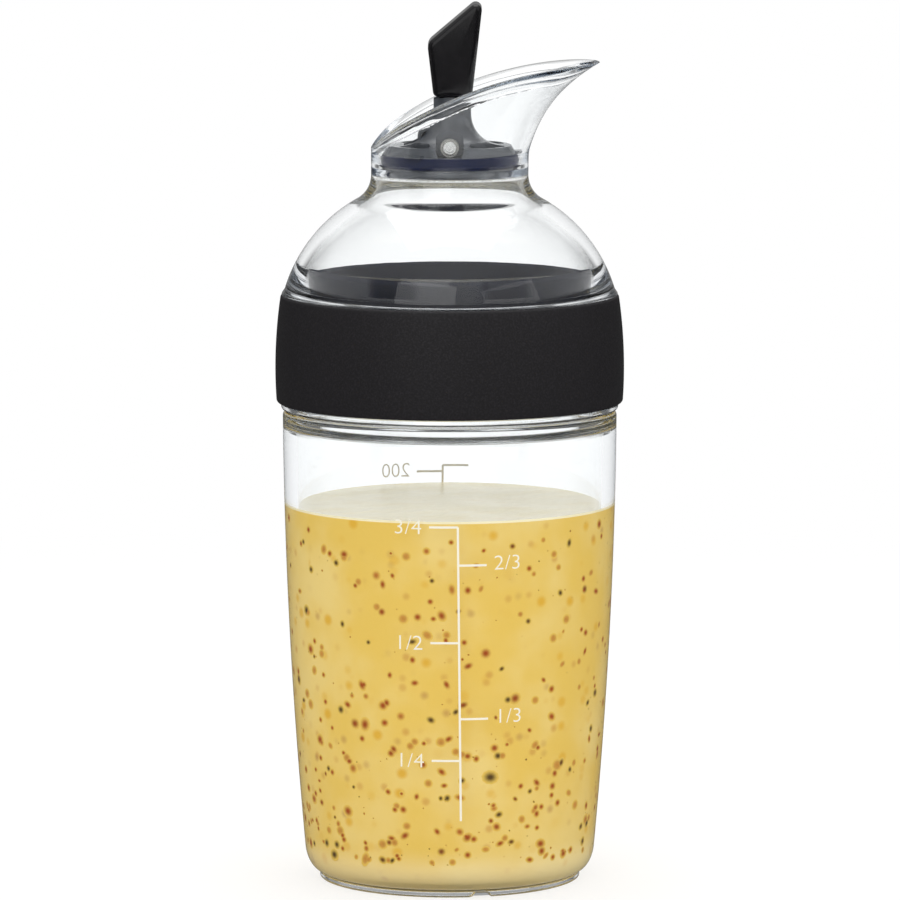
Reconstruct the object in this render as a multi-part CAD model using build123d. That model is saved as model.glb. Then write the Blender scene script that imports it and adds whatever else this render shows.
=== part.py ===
from build123d import *
import math
import os

# Salad dressing shaker: a clear tapered container, a clear screw-on dome with a soft grip band
# and an open pouring spout, and a lever that lowers a sealing plug out of the spout's neck.
# Millimetres, +Z up. The origin is on the container's axis, in the plane that its foot ring
# stands on, and +X points to the tip of the spout.

# Container
shoulder_height = 92.0          # foot to the flat shoulder under the lid
neck_height = 20.4              # shoulder to the rim of the mouth
body_base_radius = 27.9         # outside, where the wall meets the bottom
body_top_radius = 32.6          # outside, at the shoulder
body_bow = 1.02                 # how far the side bows out, half way up to the shoulder
body_wall = 2.6
floor_thickness = 2.4
shoulder_thickness = 2.5
base_corner_radius = 4.6
shoulder_corner_radius = 1.4
neck_setback = 5.0              # shoulder's edge in to the neck, at the root of its thread
neck_wall = 2.4
rim_round = 0.7
foot_height = 1.0
foot_setback = 3.1              # bottom's edge in to the foot ring
foot_width = 1.8
foot_notch_width = 3.0
foot_notch_depth = 0.6
foot_notch_count = 3
foot_notch_turn = -76.0         # degrees from +X to the first notch

# Dressing in the container
fill_drop = 18.1                # shoulder down to the surface of the dressing
fill_clearance = 0.1            # between the dressing and the wall round it

# Dome of the lid
skirt_gap = 0.4                 # between the container's shoulder and the skirt's end
thread_room = 2.2               # radial room for the two threads between neck and skirt
skirt_wall = 2.5
lip_height = 1.4                # clear lip of the skirt that shows below the grip band
lip_overhang = 0.6
dome_setback = 2.0              # how much less the radius of the dome's arc is than the skirt's
dome_centre_offset = 3.2        # from the axis to the middle of that arc
dome_centre_drop = 7.8          # from the top of the band down to the middle of that arc
dome_wall = 2.3
dome_flare_radius = 5.5         # outside, where the dome turns up into the neck
dome_flare_rise = 0.125         # end of that turn up to the joint with the spout
dome_throat_radius = 8.3        # inside, where the dome turns up into the neck
shelf_depth = 2.8               # how far the gasket's shelf stands in from the skirt
shelf_thickness = 1.2
groove_wall = 1.0               # ring round the gasket, under the shelf
groove_depth = 4.2              # shelf down to the end of that ring

# Gasket between the dome and the container's rim
gasket_height = 5.2
gasket_width = 2.4
gasket_setback = 0.4            # edge of the mouth's rim in to the gasket
gasket_seat_gap = 0.3           # clearance to the rim below, to the shelf above and to its groove
gasket_round = 0.6

# Grip band
band_overlap = 2.4              # rim of the mouth up to the top of the band
band_bottom_thickness = 1.5
band_middle_thickness = 1.65
band_top_thickness = 0.65
band_edge_radius = 0.6

# Pouring spout
spout_radius = 15.3             # outside of its round neck
spout_wall = 1.1
bore_wall = 1.4                 # round the bore that the plug closes
bore_end_height = 1.4           # joint up to the lower end of the bore
bore_end_flare = 0.7            # how much wider the bore is at the joint
neck_straight_height = 4.6      # joint up to where the spout starts to widen
tip_height = 21.8               # joint up to the tip
tip_reach = 13.5                # how far the tip stands out from the round neck
side_flare = 0.4                # how much wider the spout is at the tip's height, each side
rear_rim_height = 5.3           # joint up to the rim at the back
rim_bend_height = 10.4          # joint up to where the rim turns down to the back
rim_bend_offset = 9.7           # from the axis back to that place
rim_middle_height = 19.0        # joint up to the rim half way to the tip
rim_middle_offset = 9.8
section_height_shares = (0.0, 0.2, 0.4, 0.6, 0.8, 0.92, 1.06)
front_fullness_share = 0.45     # added by the tip's height to the weight of the front's conics
flare_straight_share = 0.45     # share of the reach that grows evenly with height

# Lever pin
pin_height = 5.5                # joint up to the lever's pin
pin_radius = 1.15
pin_head_radius = 1.8
pin_head_height = 0.8
pin_hold_clearance = 0.02       # where the pin is held, radial
pin_running_clearance = 0.05    # where the lever turns on it, radial

# Valve housing
stem_radius = 4.2
stem_top_radius = 9.65          # top of the stem, a round about the lever's pin
stem_foot_radius = 6.0
flange_top_height = 0.25        # above the pin
flange_bottom_depth = 1.55      # below the pin
flange_play = 0.8               # between the flange and the bore
flange_slope = 1.1              # how much narrower the flange is at its top
slot_half_width = 2.8
slot_front = 2.9                # from the pin towards the tip
slot_back = 8.9                 # from the pin towards the back
channel_flat = 5.0              # from the axis to the flats that the pin's ends stand on
channel_radius = 2.65
window_setback = 2.6            # top edge of the flange in to the middle of the windows
window_width = 3.8
window_turns = (37.0, 136.0, 224.0, 323.0)
window_spans = (32.0, 18.0, 18.0, 32.0)
lug_width = 3.4
lug_height = 0.6
lug_turns = (0.0, 120.0, 240.0)
lug_clearance = 0.05

# Lever
lever_tilt_angle = 60.0         # degrees from closed to open
lever_top_angle = 38.0          # degrees that the top slants
lever_depth = 11.5              # across, along the pin
lever_shoulder_height = 21.75   # pin to the low end of the slanted top
lever_front_top = 6.45          # towards the tip, at the top
lever_front_foot = 4.25
lever_back_top = 4.25           # towards the back, at the low end of the slanted top
lever_back_foot = 3.1
lever_foot_clearance = 0.3      # over the stem of the housing
lever_tip_radius = 1.7
lever_corner_radius = 1.5
lever_foot_corner_radius = 1.2
lever_edge_radius = 1.1
lever_web = 2.4                 # thickness of the arm in the housing
lever_stem_half_width = 2.1
hub_radius = 2.3
crank_radius = 4.6              # lever pin to crank pin
crank_angle = 27.0              # degrees above level when closed
crank_end_radius = 1.35
crank_pin_radius = 0.75

# Plunger
side_play = 0.2                 # beside the lever's arm and inside the housing's slot
yoke_play = 0.15                # round the crank pin and the lever pin, in their slots
yoke_wall = 0.7
guide_wall = 1.03
plunger_gap = 0.35              # under the housing when closed
plunger_thickness = 1.95
hub_play = 0.25
post_radius = 3.0
post_reach = 0.5                # below the retainer
seal_width = 2.2
seal_top_setback = 0.65         # lip of the seal in to its top edge
seal_play = 0.1                 # between the lip of the seal and the bore
seal_taper_share = 0.6
seal_heel_share = 0.84
seal_heel_drop = 0.3
retainer_setback = 0.6          # lip of the seal in to the retainer's edge
retainer_thickness = 1.3
retainer_round = 0.5

overrun = 2.0                   # how far a cut runs past what it cuts
round_limit_share = 0.9         # most of a wall that a round may take

# Radii that follow from the sizes above
body_middle_radius = (body_base_radius + body_top_radius) / 2 + body_bow
clear_radius = body_base_radius + body_top_radius      # far outside the body all the way up
neck_radius = body_top_radius - neck_setback
foot_radius = body_base_radius - foot_setback
skirt_inner_radius = neck_radius + thread_room
skirt_radius = skirt_inner_radius + skirt_wall
band_bottom_radius = skirt_radius + band_bottom_thickness
band_middle_radius = skirt_radius + band_middle_thickness
band_top_radius = skirt_radius + band_top_thickness
gasket_radius = neck_radius - gasket_setback
groove_radius = gasket_radius + gasket_seat_gap
shelf_radius = skirt_inner_radius - shelf_depth
dome_radius = skirt_radius - dome_setback
bore_radius = spout_radius - bore_wall
ledge_radius = spout_radius - spout_wall      # the bore's ledge carries the valve housing
flange_bottom_radius = bore_radius - flange_play
flange_top_radius = flange_bottom_radius - flange_slope
window_radius = flange_top_radius - window_setback
seal_radius = bore_radius - seal_play
seal_top_radius = seal_radius - seal_top_setback
plunger_radius = seal_radius - seal_width
retainer_radius = seal_radius - retainer_setback

# Heights that follow
container_height = shoulder_height + neck_height
fill_height = shoulder_height - fill_drop
floor_height = foot_height + floor_thickness
skirt_bottom = shoulder_height + skirt_gap
band_bottom = skirt_bottom + lip_height
band_top = container_height + band_overlap
dome_centre = band_top - dome_centre_drop
flare_centre_out = spout_radius + dome_flare_radius - dome_centre_offset
flare_centre = dome_centre + math.sqrt((dome_radius + dome_flare_radius) ** 2 - flare_centre_out ** 2)
joint = flare_centre + dome_flare_rise
pin = joint + pin_height
flange_top = pin + flange_top_height
flange_bottom = pin - flange_bottom_depth
plunger_top = flange_bottom - plunger_gap
plunger_bottom = plunger_top - plunger_thickness
retainer_bottom = plunger_bottom - retainer_thickness
gasket_bottom = container_height + gasket_seat_gap
gasket_top = gasket_bottom + gasket_height
shelf_bottom = gasket_top + gasket_seat_gap
shelf_top = shelf_bottom + shelf_thickness

# The crank pin's place when the lever is closed, and how far it takes the plunger down
open_angle = lever_tilt_angle - crank_angle
crank_x = -crank_radius * math.cos(math.radians(crank_angle))
crank_rise = crank_radius * math.sin(math.radians(crank_angle))
crank_z = pin + crank_rise
plunger_travel = crank_rise + crank_radius * math.sin(math.radians(open_angle))
crank_near_x = crank_radius * math.cos(math.radians(open_angle))


def turned(outline):
    """A solid turned about the axis from an outline of radius and height."""
    return revolve(Plane.XZ * outline, Axis.Z)


def band_outline(inner, outer, low, high):
    """A plain rectangle of radius and height."""
    return make_face(Polyline((inner, low), (outer, low), (outer, high), (inner, high), close=True))


def corner(outline, radius, height):
    """The corner of an outline that is nearest to a place."""
    return outline.vertices().sort_by_distance((radius, height, 0))[0]


def across(outline, depth):
    """A plate of an outline of X and Z, half its depth on each side of the middle."""
    return extrude(Plane.XZ * outline, depth / 2, both=True)


def pin_along_y(radius, length, x, z):
    """A round pin, or the cut for one, across the middle."""
    return Pos(x, 0, z) * Rot(90, 0, 0) * Cylinder(radius, length)


def body_arc(inset):
    """The slightly bowed side of the container, moved in by a wall."""
    middle = (foot_height + shoulder_height) / 2
    return ThreePointArc(
        (body_base_radius - inset, foot_height),
        (body_middle_radius - inset, middle),
        (body_top_radius - inset, shoulder_height),
    )


def body_space(inset, low, high, low_round, high_round):
    """What the bowed side encloses between two heights, with its two corners rounded."""
    side = body_arc(inset)
    start, end = side @ 0, side @ 1
    closing = Polyline((end.X, end.Y), (0, end.Y), (0, start.Y), (start.X, start.Y))
    space = make_face([side, closing]) & band_outline(0, clear_radius, low, high)
    space = fillet(corner(space, clear_radius, low), low_round)
    return fillet(corner(space, clear_radius, high), high_round)


def make_container():
    inner_round = base_corner_radius - body_wall / 2
    blank = turned(body_space(0, foot_height, shoulder_height, base_corner_radius, shoulder_corner_radius))
    neck_root = shoulder_height - shoulder_thickness / 2
    neck = turned(band_outline(0, neck_radius, neck_root, container_height))
    ceiling = shoulder_height - shoulder_thickness
    cavity = turned(body_space(body_wall, floor_height, ceiling, inner_round, inner_round))
    mouth_radius = neck_radius - neck_wall
    mouth = turned(band_outline(0, mouth_radius, ceiling - overrun, container_height + overrun))
    body = blank + neck - cavity - mouth
    rim = body.edges().filter_by(GeomType.CIRCLE).group_by(Axis.Z)[-1]
    body = fillet(rim, rim_round)
    foot_root = foot_height + floor_thickness / 2
    foot = turned(band_outline(foot_radius - foot_width, foot_radius, 0, foot_root))
    for turn in range(foot_notch_count):
        angle = foot_notch_turn + turn * 360 / foot_notch_count
        notch = Box(foot_width * 2, foot_notch_width, foot_notch_depth * 2)
        foot -= Rot(0, 0, angle) * Pos(foot_radius - foot_width / 2, 0, 0) * notch
    return body + foot


def make_dressing():
    inset = body_wall + fill_clearance
    low = floor_height + fill_clearance
    side = body_arc(inset)
    start, end = side @ 0, side @ 1
    closing = Polyline((end.X, end.Y), (0, end.Y), (0, start.Y), (start.X, start.Y))
    space = make_face([side, closing]) & band_outline(0, clear_radius, low, fill_height)
    space = fillet(corner(space, clear_radius, low), base_corner_radius - body_wall / 2)
    return turned(space)


def dome_reach(height, inset):
    """The radius of the dome's arc at a height, moved in by a wall."""
    rise = height - dome_centre
    return dome_centre_offset + math.sqrt((dome_radius - inset) ** 2 - rise ** 2)


def dome_rise(reach, inset):
    """The height of the dome's arc at a radius, moved in by a wall."""
    out = reach - dome_centre_offset
    return dome_centre + math.sqrt((dome_radius - inset) ** 2 - out ** 2)


def dome_outline(low, throat, round_radius, inset, top):
    """The dome's arc from a height up to its throat, and the throat up to the top."""
    start = (dome_reach(low, inset), low)
    end = (throat, dome_rise(throat, inset))
    middle_height = (low + end[1]) / 2
    arc = ThreePointArc(start, (dome_reach(middle_height, inset), middle_height), end)
    closing = Polyline(end, (throat, top), (0, top), (0, low), start)
    outline = make_face([arc, closing])
    return fillet(corner(outline, *end), round_radius)


def make_dome_shell():
    throat = bore_radius + bore_end_flare
    skirt = band_outline(0, skirt_radius, skirt_bottom, band_top)
    lip = band_outline(0, skirt_radius + lip_overhang, skirt_bottom, band_bottom)
    outside = turned(skirt) + turned(lip)
    outside += turned(dome_outline(band_top, spout_radius, dome_flare_radius, 0, joint))
    inside = turned(dome_outline(shelf_top, throat, dome_throat_radius, dome_wall, joint))
    inside += turned(band_outline(0, shelf_radius, shelf_bottom, shelf_top))
    inside += turned(band_outline(0, skirt_inner_radius, skirt_bottom, shelf_bottom))
    groove_bottom = shelf_bottom - groove_depth
    groove_root = shelf_bottom + shelf_thickness / 2
    groove = band_outline(groove_radius, groove_radius + groove_wall, groove_bottom, groove_root)
    return outside - inside + turned(groove)


def make_lid_gasket():
    ring = band_outline(gasket_radius - gasket_width, gasket_radius, gasket_bottom, gasket_top)
    return turned(fillet(ring.vertices(), gasket_round))


def make_grip_band():
    side = ThreePointArc(
        (band_bottom_radius, band_bottom),
        (band_middle_radius, (band_bottom + band_top) / 2),
        (band_top_radius, band_top),
    )
    inner = Polyline(
        (band_top_radius, band_top),
        (skirt_radius, band_top),
        (skirt_radius, band_bottom),
        (band_bottom_radius, band_bottom),
    )
    outline = make_face([side, inner])
    bottom_round = min(band_edge_radius, band_bottom_thickness * round_limit_share)
    top_round = min(band_edge_radius, band_top_thickness * round_limit_share)
    outline = fillet(corner(outline, band_bottom_radius, band_bottom), bottom_round)
    outline = fillet(corner(outline, band_top_radius, band_top), top_round)
    return turned(outline)


def spout_section(share, inset):
    """The spout's outline at a share of its flared height: round behind, fuller than an ellipse in front."""
    growth = flare_straight_share * share + (1 - flare_straight_share) * share ** 3
    slope = flare_straight_share + 3 * (1 - flare_straight_share) * share ** 2
    slope *= tip_reach / (tip_height - neck_straight_height)
    reach = spout_radius + tip_reach * growth - inset * math.sqrt(1 + (slope * share) ** 2)
    side = spout_radius + side_flare * share - inset
    back = ThreePointArc((0, side), (-(spout_radius - inset), 0), (0, -side))
    weights = (1, math.sqrt(1 / 2) + front_fullness_share * share, 1)
    right = Bezier((0, -side), (reach, -side), (reach, 0), weights=weights)
    left = Bezier((reach, 0), (reach, side), (0, side), weights=weights)
    height = joint + neck_straight_height + share * (tip_height - neck_straight_height)
    return Pos(0, 0, height) * make_face([back, right, left])


def rim_cut():
    """All that lies above the spout's slanted rim, as seen from the side."""
    past_tip = (spout_radius + tip_reach + overrun, joint + tip_height)
    bend = (-rim_bend_offset, joint + rim_bend_height)
    rear = (-spout_radius, joint + rear_rim_height)
    front_arc = ThreePointArc(past_tip, (rim_middle_offset, joint + rim_middle_height), bend)
    rear_arc = TangentArc(bend, rear, tangent=front_arc % 1)
    past_rear = rear_arc @ 1 + rear_arc % 1 * overrun
    above = joint + tip_height + overrun * 2
    closing = Polyline(
        rear,
        (past_rear.X, past_rear.Y),
        (past_rear.X, above),
        (past_tip[0], above),
        past_tip,
    )
    return across(make_face([front_arc, rear_arc, closing]), (spout_radius + overrun) * 2)


def make_pour_spout():
    straight_top = joint + neck_straight_height
    outside = turned(band_outline(0, spout_radius, joint, straight_top))
    outside += loft([spout_section(share, 0) for share in section_height_shares])
    inside = loft([spout_section(share, spout_wall) for share in section_height_shares])
    bore = Polyline(
        (0, joint),
        (bore_radius + bore_end_flare, joint),
        (bore_radius, joint + bore_end_height),
        (bore_radius, flange_bottom),
        (ledge_radius, flange_bottom),
        (ledge_radius, straight_top),
        (0, straight_top),
        close=True,
    )
    inside += turned(make_face(bore))
    return outside - inside - rim_cut()


def channel_cut():
    """The round-bottomed channel that the pin's head lies in, cut inwards to its flat."""
    outline = Pos(0, pin) * Circle(channel_radius)
    outline += band_outline(-channel_radius, channel_radius, pin, pin + stem_top_radius)
    return extrude(Plane.XZ * outline, flange_bottom_radius)


def make_valve_housing():
    top = pin + stem_top_radius
    bell = Polyline(
        (0, flange_bottom),
        (flange_bottom_radius, flange_bottom),
        (flange_top_radius, flange_top),
        (stem_radius, flange_top),
        (stem_radius, top),
        (0, top),
        close=True,
    )
    bell = make_face(bell)
    body = turned(fillet(corner(bell, stem_radius, flange_top), stem_foot_radius))
    crown = Pos(0, 0, top) * Box(stem_radius * 3, stem_radius * 3, stem_radius)
    body -= crown - pin_along_y(stem_top_radius, stem_radius * 4, 0, pin)
    lug_end = ledge_radius - lug_clearance
    lug_start = window_radius + window_width / 2
    lug_ring = turned(band_outline(lug_start, lug_end, flange_bottom, flange_bottom + lug_height))
    for turn in lug_turns:
        lug = Box(lug_end, lug_width, lug_height, align=(Align.MIN, Align.CENTER, Align.MIN))
        body += lug_ring & Rot(0, 0, turn) * Pos(0, 0, flange_bottom) * lug
    for turn, span in zip(window_turns, window_spans):
        arc = CenterArc((0, 0), window_radius, turn - span / 2, span)
        window = Pos(0, 0, flange_bottom) * SlotArc(arc, window_width)
        body -= extrude(window, stem_top_radius)
    slot_outline = band_outline(-slot_back, slot_front, flange_bottom - overrun, top + overrun)
    body -= across(slot_outline, slot_half_width * 2)
    channel = Pos(0, -channel_flat, 0) * channel_cut()
    body -= channel + mirror(channel, Plane.XZ)
    return body - pin_along_y(pin_radius + pin_hold_clearance, channel_flat * 3, 0, pin)


def make_lever_pin():
    shaft_end = channel_flat + pin_head_height
    shaft = pin_along_y(pin_radius, shaft_end * 2, 0, pin)
    head = pin_along_y(pin_head_radius, pin_head_height, 0, pin)
    head = Pos(0, -channel_flat - pin_head_height / 2, 0) * head
    return shaft + head


def make_pin_collar():
    collar = pin_along_y(pin_head_radius, pin_head_height, 0, pin)
    collar -= pin_along_y(pin_radius + pin_hold_clearance, pin_head_height * 2, 0, pin)
    return Pos(0, channel_flat + pin_head_height / 2, 0) * collar


def make_lever():
    foot = pin + hub_radius
    slant = (lever_front_top + lever_back_top) * math.tan(math.radians(lever_top_angle))
    top = pin + lever_shoulder_height + slant
    paddle = make_face(Polyline(
        (-lever_back_foot, foot),
        (lever_front_foot, foot),
        (lever_front_top, top),
        (-lever_back_top, pin + lever_shoulder_height),
        close=True,
    ))
    paddle = fillet(corner(paddle, lever_front_top, top), lever_tip_radius)
    low_corner = corner(paddle, -lever_back_top, pin + lever_shoulder_height)
    paddle = fillet(low_corner, lever_corner_radius)
    underside_radius = stem_top_radius + lever_foot_clearance
    paddle -= Pos(0, pin) * Circle(underside_radius)
    for edge in (-lever_back_foot, lever_front_foot):
        paddle = fillet(corner(paddle, edge, pin + underside_radius), lever_foot_corner_radius)
    body = across(paddle, lever_depth)
    sides = body.faces().filter_by(Axis.Y)
    body = fillet(sides.edges(), lever_edge_radius)
    hub = Pos(0, pin) * Circle(hub_radius)
    crank = Rot(0, 0, -crank_angle) * SlotCenterToCenter(crank_radius, crank_end_radius * 2)
    stem_top = pin + stem_top_radius + overrun
    stem = band_outline(-lever_stem_half_width, lever_stem_half_width, pin, stem_top)
    arm = hub + Pos(crank_x / 2, (pin + crank_z) / 2) * crank + stem
    body += across(arm, lever_web)
    body -= pin_along_y(pin_radius + pin_running_clearance, lever_depth, 0, pin)
    return body - pin_along_y(crank_pin_radius, lever_depth, crank_x, crank_z)


def ear_gap():
    """From the middle to the inner face of the plunger's ears."""
    return lever_web / 2 + side_play


def make_crank_pin():
    return pin_along_y(crank_pin_radius, (slot_half_width - side_play) * 2, crank_x, crank_z)


def make_plunger():
    slot_radius = crank_pin_radius + yoke_play
    guide_radius = pin_radius + yoke_play
    guide_half_width = guide_radius + guide_wall
    guide_top = pin + plunger_travel + guide_half_width
    yoke_back = crank_radius + slot_radius + yoke_wall
    yoke_top = crank_z + slot_radius + yoke_wall
    guide = band_outline(-guide_half_width, guide_half_width, plunger_top, guide_top)
    yoke = band_outline(-yoke_back, 0, plunger_top, yoke_top)
    yoke = fillet(corner(yoke, -yoke_back, yoke_top), slot_radius + yoke_wall)
    ear = fillet(guide.vertices().group_by(Axis.Y)[-1], guide_wall) + yoke
    yoke_length = crank_radius - crank_near_x
    yoke_slot = SlotCenterToCenter(yoke_length, slot_radius * 2)
    ear -= Pos(-(crank_radius + crank_near_x) / 2, crank_z) * yoke_slot
    guide_slot = Rot(0, 0, 90) * SlotCenterToCenter(plunger_travel, guide_radius * 2)
    ear -= Pos(0, pin + plunger_travel / 2) * guide_slot
    ears = across(ear, (slot_half_width - side_play) * 2)
    ears -= across(band_outline(-slot_back, slot_front, plunger_top, guide_top), ear_gap() * 2)
    disc = turned(band_outline(0, plunger_radius, plunger_bottom, plunger_top))
    disc += turned(band_outline(0, post_radius, retainer_bottom - post_reach, plunger_bottom))
    hub_room = hub_radius + hub_play
    disc -= across(band_outline(-hub_room, hub_room, pin - hub_room, pin), ear_gap() * 2)
    return disc + ears


def make_plug_seal():
    lip_low = plunger_top - seal_taper_share * plunger_thickness
    heel = plunger_top - seal_heel_share * plunger_thickness
    return turned(make_face(Polyline(
        (plunger_radius, plunger_top),
        (seal_top_radius, plunger_top),
        (seal_radius, lip_low),
        (seal_radius, heel),
        (seal_radius - seal_heel_drop, plunger_bottom),
        (plunger_radius, plunger_bottom),
        close=True,
    )))


def make_seal_retainer():
    outline = band_outline(post_radius, retainer_radius, retainer_bottom, plunger_bottom)
    return turned(fillet(corner(outline, retainer_radius, retainer_bottom), retainer_round))


pieces = {
    "container": make_container,
    "dressing": make_dressing,
    "lid_gasket": make_lid_gasket,
    "dome_shell": make_dome_shell,
    "grip_band": make_grip_band,
    "pour_spout": make_pour_spout,
    "valve_housing": make_valve_housing,
    "lever_pin": make_lever_pin,
    "pin_collar": make_pin_collar,
    "lever": make_lever,
    "crank_pin": make_crank_pin,
    "plunger": make_plunger,
    "plug_seal": make_plug_seal,
    "seal_retainer": make_seal_retainer,
}

os.makedirs("parts", exist_ok=True)
for name, make in pieces.items():
    export_step(make(), f"parts/{name}.step")
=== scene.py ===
import math

import bmesh
import bpy
import numpy as np
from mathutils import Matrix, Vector


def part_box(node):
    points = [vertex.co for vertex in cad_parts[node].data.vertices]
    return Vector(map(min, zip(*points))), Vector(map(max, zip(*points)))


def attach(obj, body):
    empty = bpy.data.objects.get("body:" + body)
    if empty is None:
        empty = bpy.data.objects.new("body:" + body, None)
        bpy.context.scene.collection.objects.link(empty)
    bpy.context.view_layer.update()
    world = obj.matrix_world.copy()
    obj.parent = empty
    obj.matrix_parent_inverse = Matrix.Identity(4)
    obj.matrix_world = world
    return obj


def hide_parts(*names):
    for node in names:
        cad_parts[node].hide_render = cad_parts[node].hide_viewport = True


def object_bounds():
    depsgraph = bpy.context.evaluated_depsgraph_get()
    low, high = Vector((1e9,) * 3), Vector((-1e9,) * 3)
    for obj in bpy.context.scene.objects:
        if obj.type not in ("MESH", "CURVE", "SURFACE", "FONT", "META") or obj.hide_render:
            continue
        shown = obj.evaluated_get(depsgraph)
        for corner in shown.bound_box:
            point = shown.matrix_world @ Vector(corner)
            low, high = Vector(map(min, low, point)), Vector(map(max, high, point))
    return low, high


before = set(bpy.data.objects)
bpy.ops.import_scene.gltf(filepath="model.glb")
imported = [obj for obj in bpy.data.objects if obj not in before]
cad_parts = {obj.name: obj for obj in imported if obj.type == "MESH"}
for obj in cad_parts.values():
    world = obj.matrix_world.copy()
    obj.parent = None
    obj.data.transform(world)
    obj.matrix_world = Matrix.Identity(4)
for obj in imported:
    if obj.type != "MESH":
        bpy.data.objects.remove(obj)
cad_low, cad_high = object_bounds()

bl_info = {
    "name": "Salad dressing shaker",
    "version": (1, 0, 0),
    "blender": (4, 5, 0),
    "location": "3D View > Sidebar > Shaker",
    "description": "Surfaces, finishes, stage and camera for a clear dressing shaker with a lever valve",
    "category": "Object",
}

MM = 0.001
FULL_TURN = 2 * math.pi
# Places closer than this, in metres, are one
NEAR = 1e-9
# Radius at the axis inside which a fan closes a turned surface
HUB = 1 * MM
# Radii of a rounded corner between it and the nearest place of the side that it ends
PAST_ROUND = 1.5
# Settings of the nodes that carry a value smoothly to another range, and of those that mix colours
SMOOTH = {"interpolation_type": "SMOOTHSTEP"}
COLOURS = {"data_type": "RGBA"}

# How fast light that runs inside each clear piece dims, per metre
clear_density = {"clear_container": 20.0, "clear_lid": 12.0, "clear_spout": 40.0}


def length(name, description, millimetres):
    """A length of the shaker, given in millimetres and kept in metres."""
    return bpy.props.FloatProperty(
        name=name, description=description, default=millimetres * MM, min=0.0, unit="LENGTH", precision=5
    )


def degrees(name, description, angle):
    """An angle, given in degrees and kept in radians."""
    return bpy.props.FloatProperty(
        name=name, description=description, default=math.radians(angle), subtype="ANGLE"
    )


def fraction(name, description, part):
    """A share of something, where one is all of it."""
    return bpy.props.FloatProperty(name=name, description=description, default=part, subtype="FACTOR")


def number(name, description, value):
    """A plain number, such as a level of light."""
    return bpy.props.FloatProperty(name=name, description=description, default=value)


def tally(name, description, pieces):
    """How many there are of something, one or more."""
    return bpy.props.IntProperty(name=name, description=description, default=pieces, min=1)


def linear(hex_code):
    """An sRGB hex colour as the linear colour that shaders take."""
    srgb = np.array([int(hex_code[i:i + 2], 16) for i in (1, 3, 5)]) / 255
    low, high = srgb / 12.92, ((srgb + 0.055) / 1.055) ** 2.4
    return (*np.where(srgb <= 0.04045, low, high).tolist(), 1.0)


def colour(name, description, hex_code):
    """A colour of the shaker, given as sRGB hex and kept linear."""
    return bpy.props.FloatVectorProperty(
        name=name, description=description, default=linear(hex_code), size=4, min=0.0, max=1.0,
        subtype="COLOR",
    )


class ContainerSizes(bpy.types.PropertyGroup):
    """Sizes of the clear container."""

    base_radius: length("Base radius", "Outside, where the wall meets the bottom", 27.9)
    top_radius: length("Top radius", "Outside, at the shoulder", 32.6)
    bow: length("Bow", "How far the side bows out, half way up", 1.02)
    wall: length("Wall", "Thickness of the side", 2.6)
    foot_height: length("Foot height", "Foot ring below the bottom", 1.0)
    foot_side: length("Foot side", "Height of the foot ring's outer side", 1.5)
    corner_top: length("Corner top", "Foot to the upper end of the round bottom corner", 6.0)
    foot_radius: length("Foot radius", "Outside of the foot ring", 25.5)
    foot_width: length("Foot width", "Across the foot ring", 1.8)
    floor_height: length("Floor height", "Foot to the inside of the bottom", 3.4)
    shoulder_height: length("Shoulder height", "Foot to the shoulder under the lid", 92.0)
    shoulder_wall: length("Shoulder wall", "Thickness of the shoulder", 2.5)
    neck_radius: length("Neck radius", "Outside of the neck, at the root of its thread", 27.6)
    mouth_radius: length("Mouth radius", "Inside of the mouth", 25.2)
    base_fullness: fraction("Base fullness", "Weight of the conic at the bottom corner", 0.8)
    inner_round: length("Inner round", "Corner inside, at the bottom", 3.3)
    ceiling_round: length("Ceiling round", "Corner inside, under the shoulder", 0.9)
    shoulder_round: length("Shoulder round", "Outer corner of the shoulder", 0.8)
    rim_round: length("Rim round", "Corners of the rim and other small corners", 0.7)
    small_round: length("Small round", "Corners of the foot ring", 0.35)
    notch_width: length("Notch width", "Drain notches in the foot ring", 3.0)
    notch_depth: length("Notch depth", "Drain notches in the foot ring", 0.8)
    notch_count: tally("Notches", "Drain notches in the foot ring", 3)
    notch_turn: degrees("Notch turn", "Turn of the first notch", -76)


class ThreadSizes(bpy.types.PropertyGroup):
    """Sizes of the quick thread, shared by the neck and the skirt of the lid."""

    lead: length("Lead", "Rise in one turn", 18.0)
    height: length("Height", "How far a ridge stands out", 1.4)
    width: length("Width", "Across a ridge", 2.6)
    low: length("Low end", "Foot to the low end of the thread", 95.5)
    high: length("High end", "Foot to the high end of the thread", 109.5)
    starts: tally("Starts", "Ridges side by side", 3)


class DressingSizes(bpy.types.PropertyGroup):
    """Sizes of the dressing and of what floats in it."""

    contact: length("Contact", "How far the dressing wets into the wall", 0.03)
    meniscus: length("Meniscus", "How far the surface climbs at the wall", 0.15)
    meniscus_reach: length("Meniscus reach", "How far in that climb runs", 1.6)
    ripple: length("Ripple", "Height of the ripples on top", 0.09)
    seed_size: length("Seed size", "Middle radius of a mustard seed", 0.9)
    fleck_size: length("Fleck size", "Middle radius of a herb fleck", 0.17)
    seed_thickness: length("Seed thickness", "Half of what shows of a seed, across the wall", 0.09)
    seed_count: tally("Seeds", "Seeds against the wall", 620)
    fleck_count: tally("Flecks", "Herb flecks", 330)
    seed_margin: length("Seed margin", "Surface down to the highest seeds", 1.5)


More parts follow.
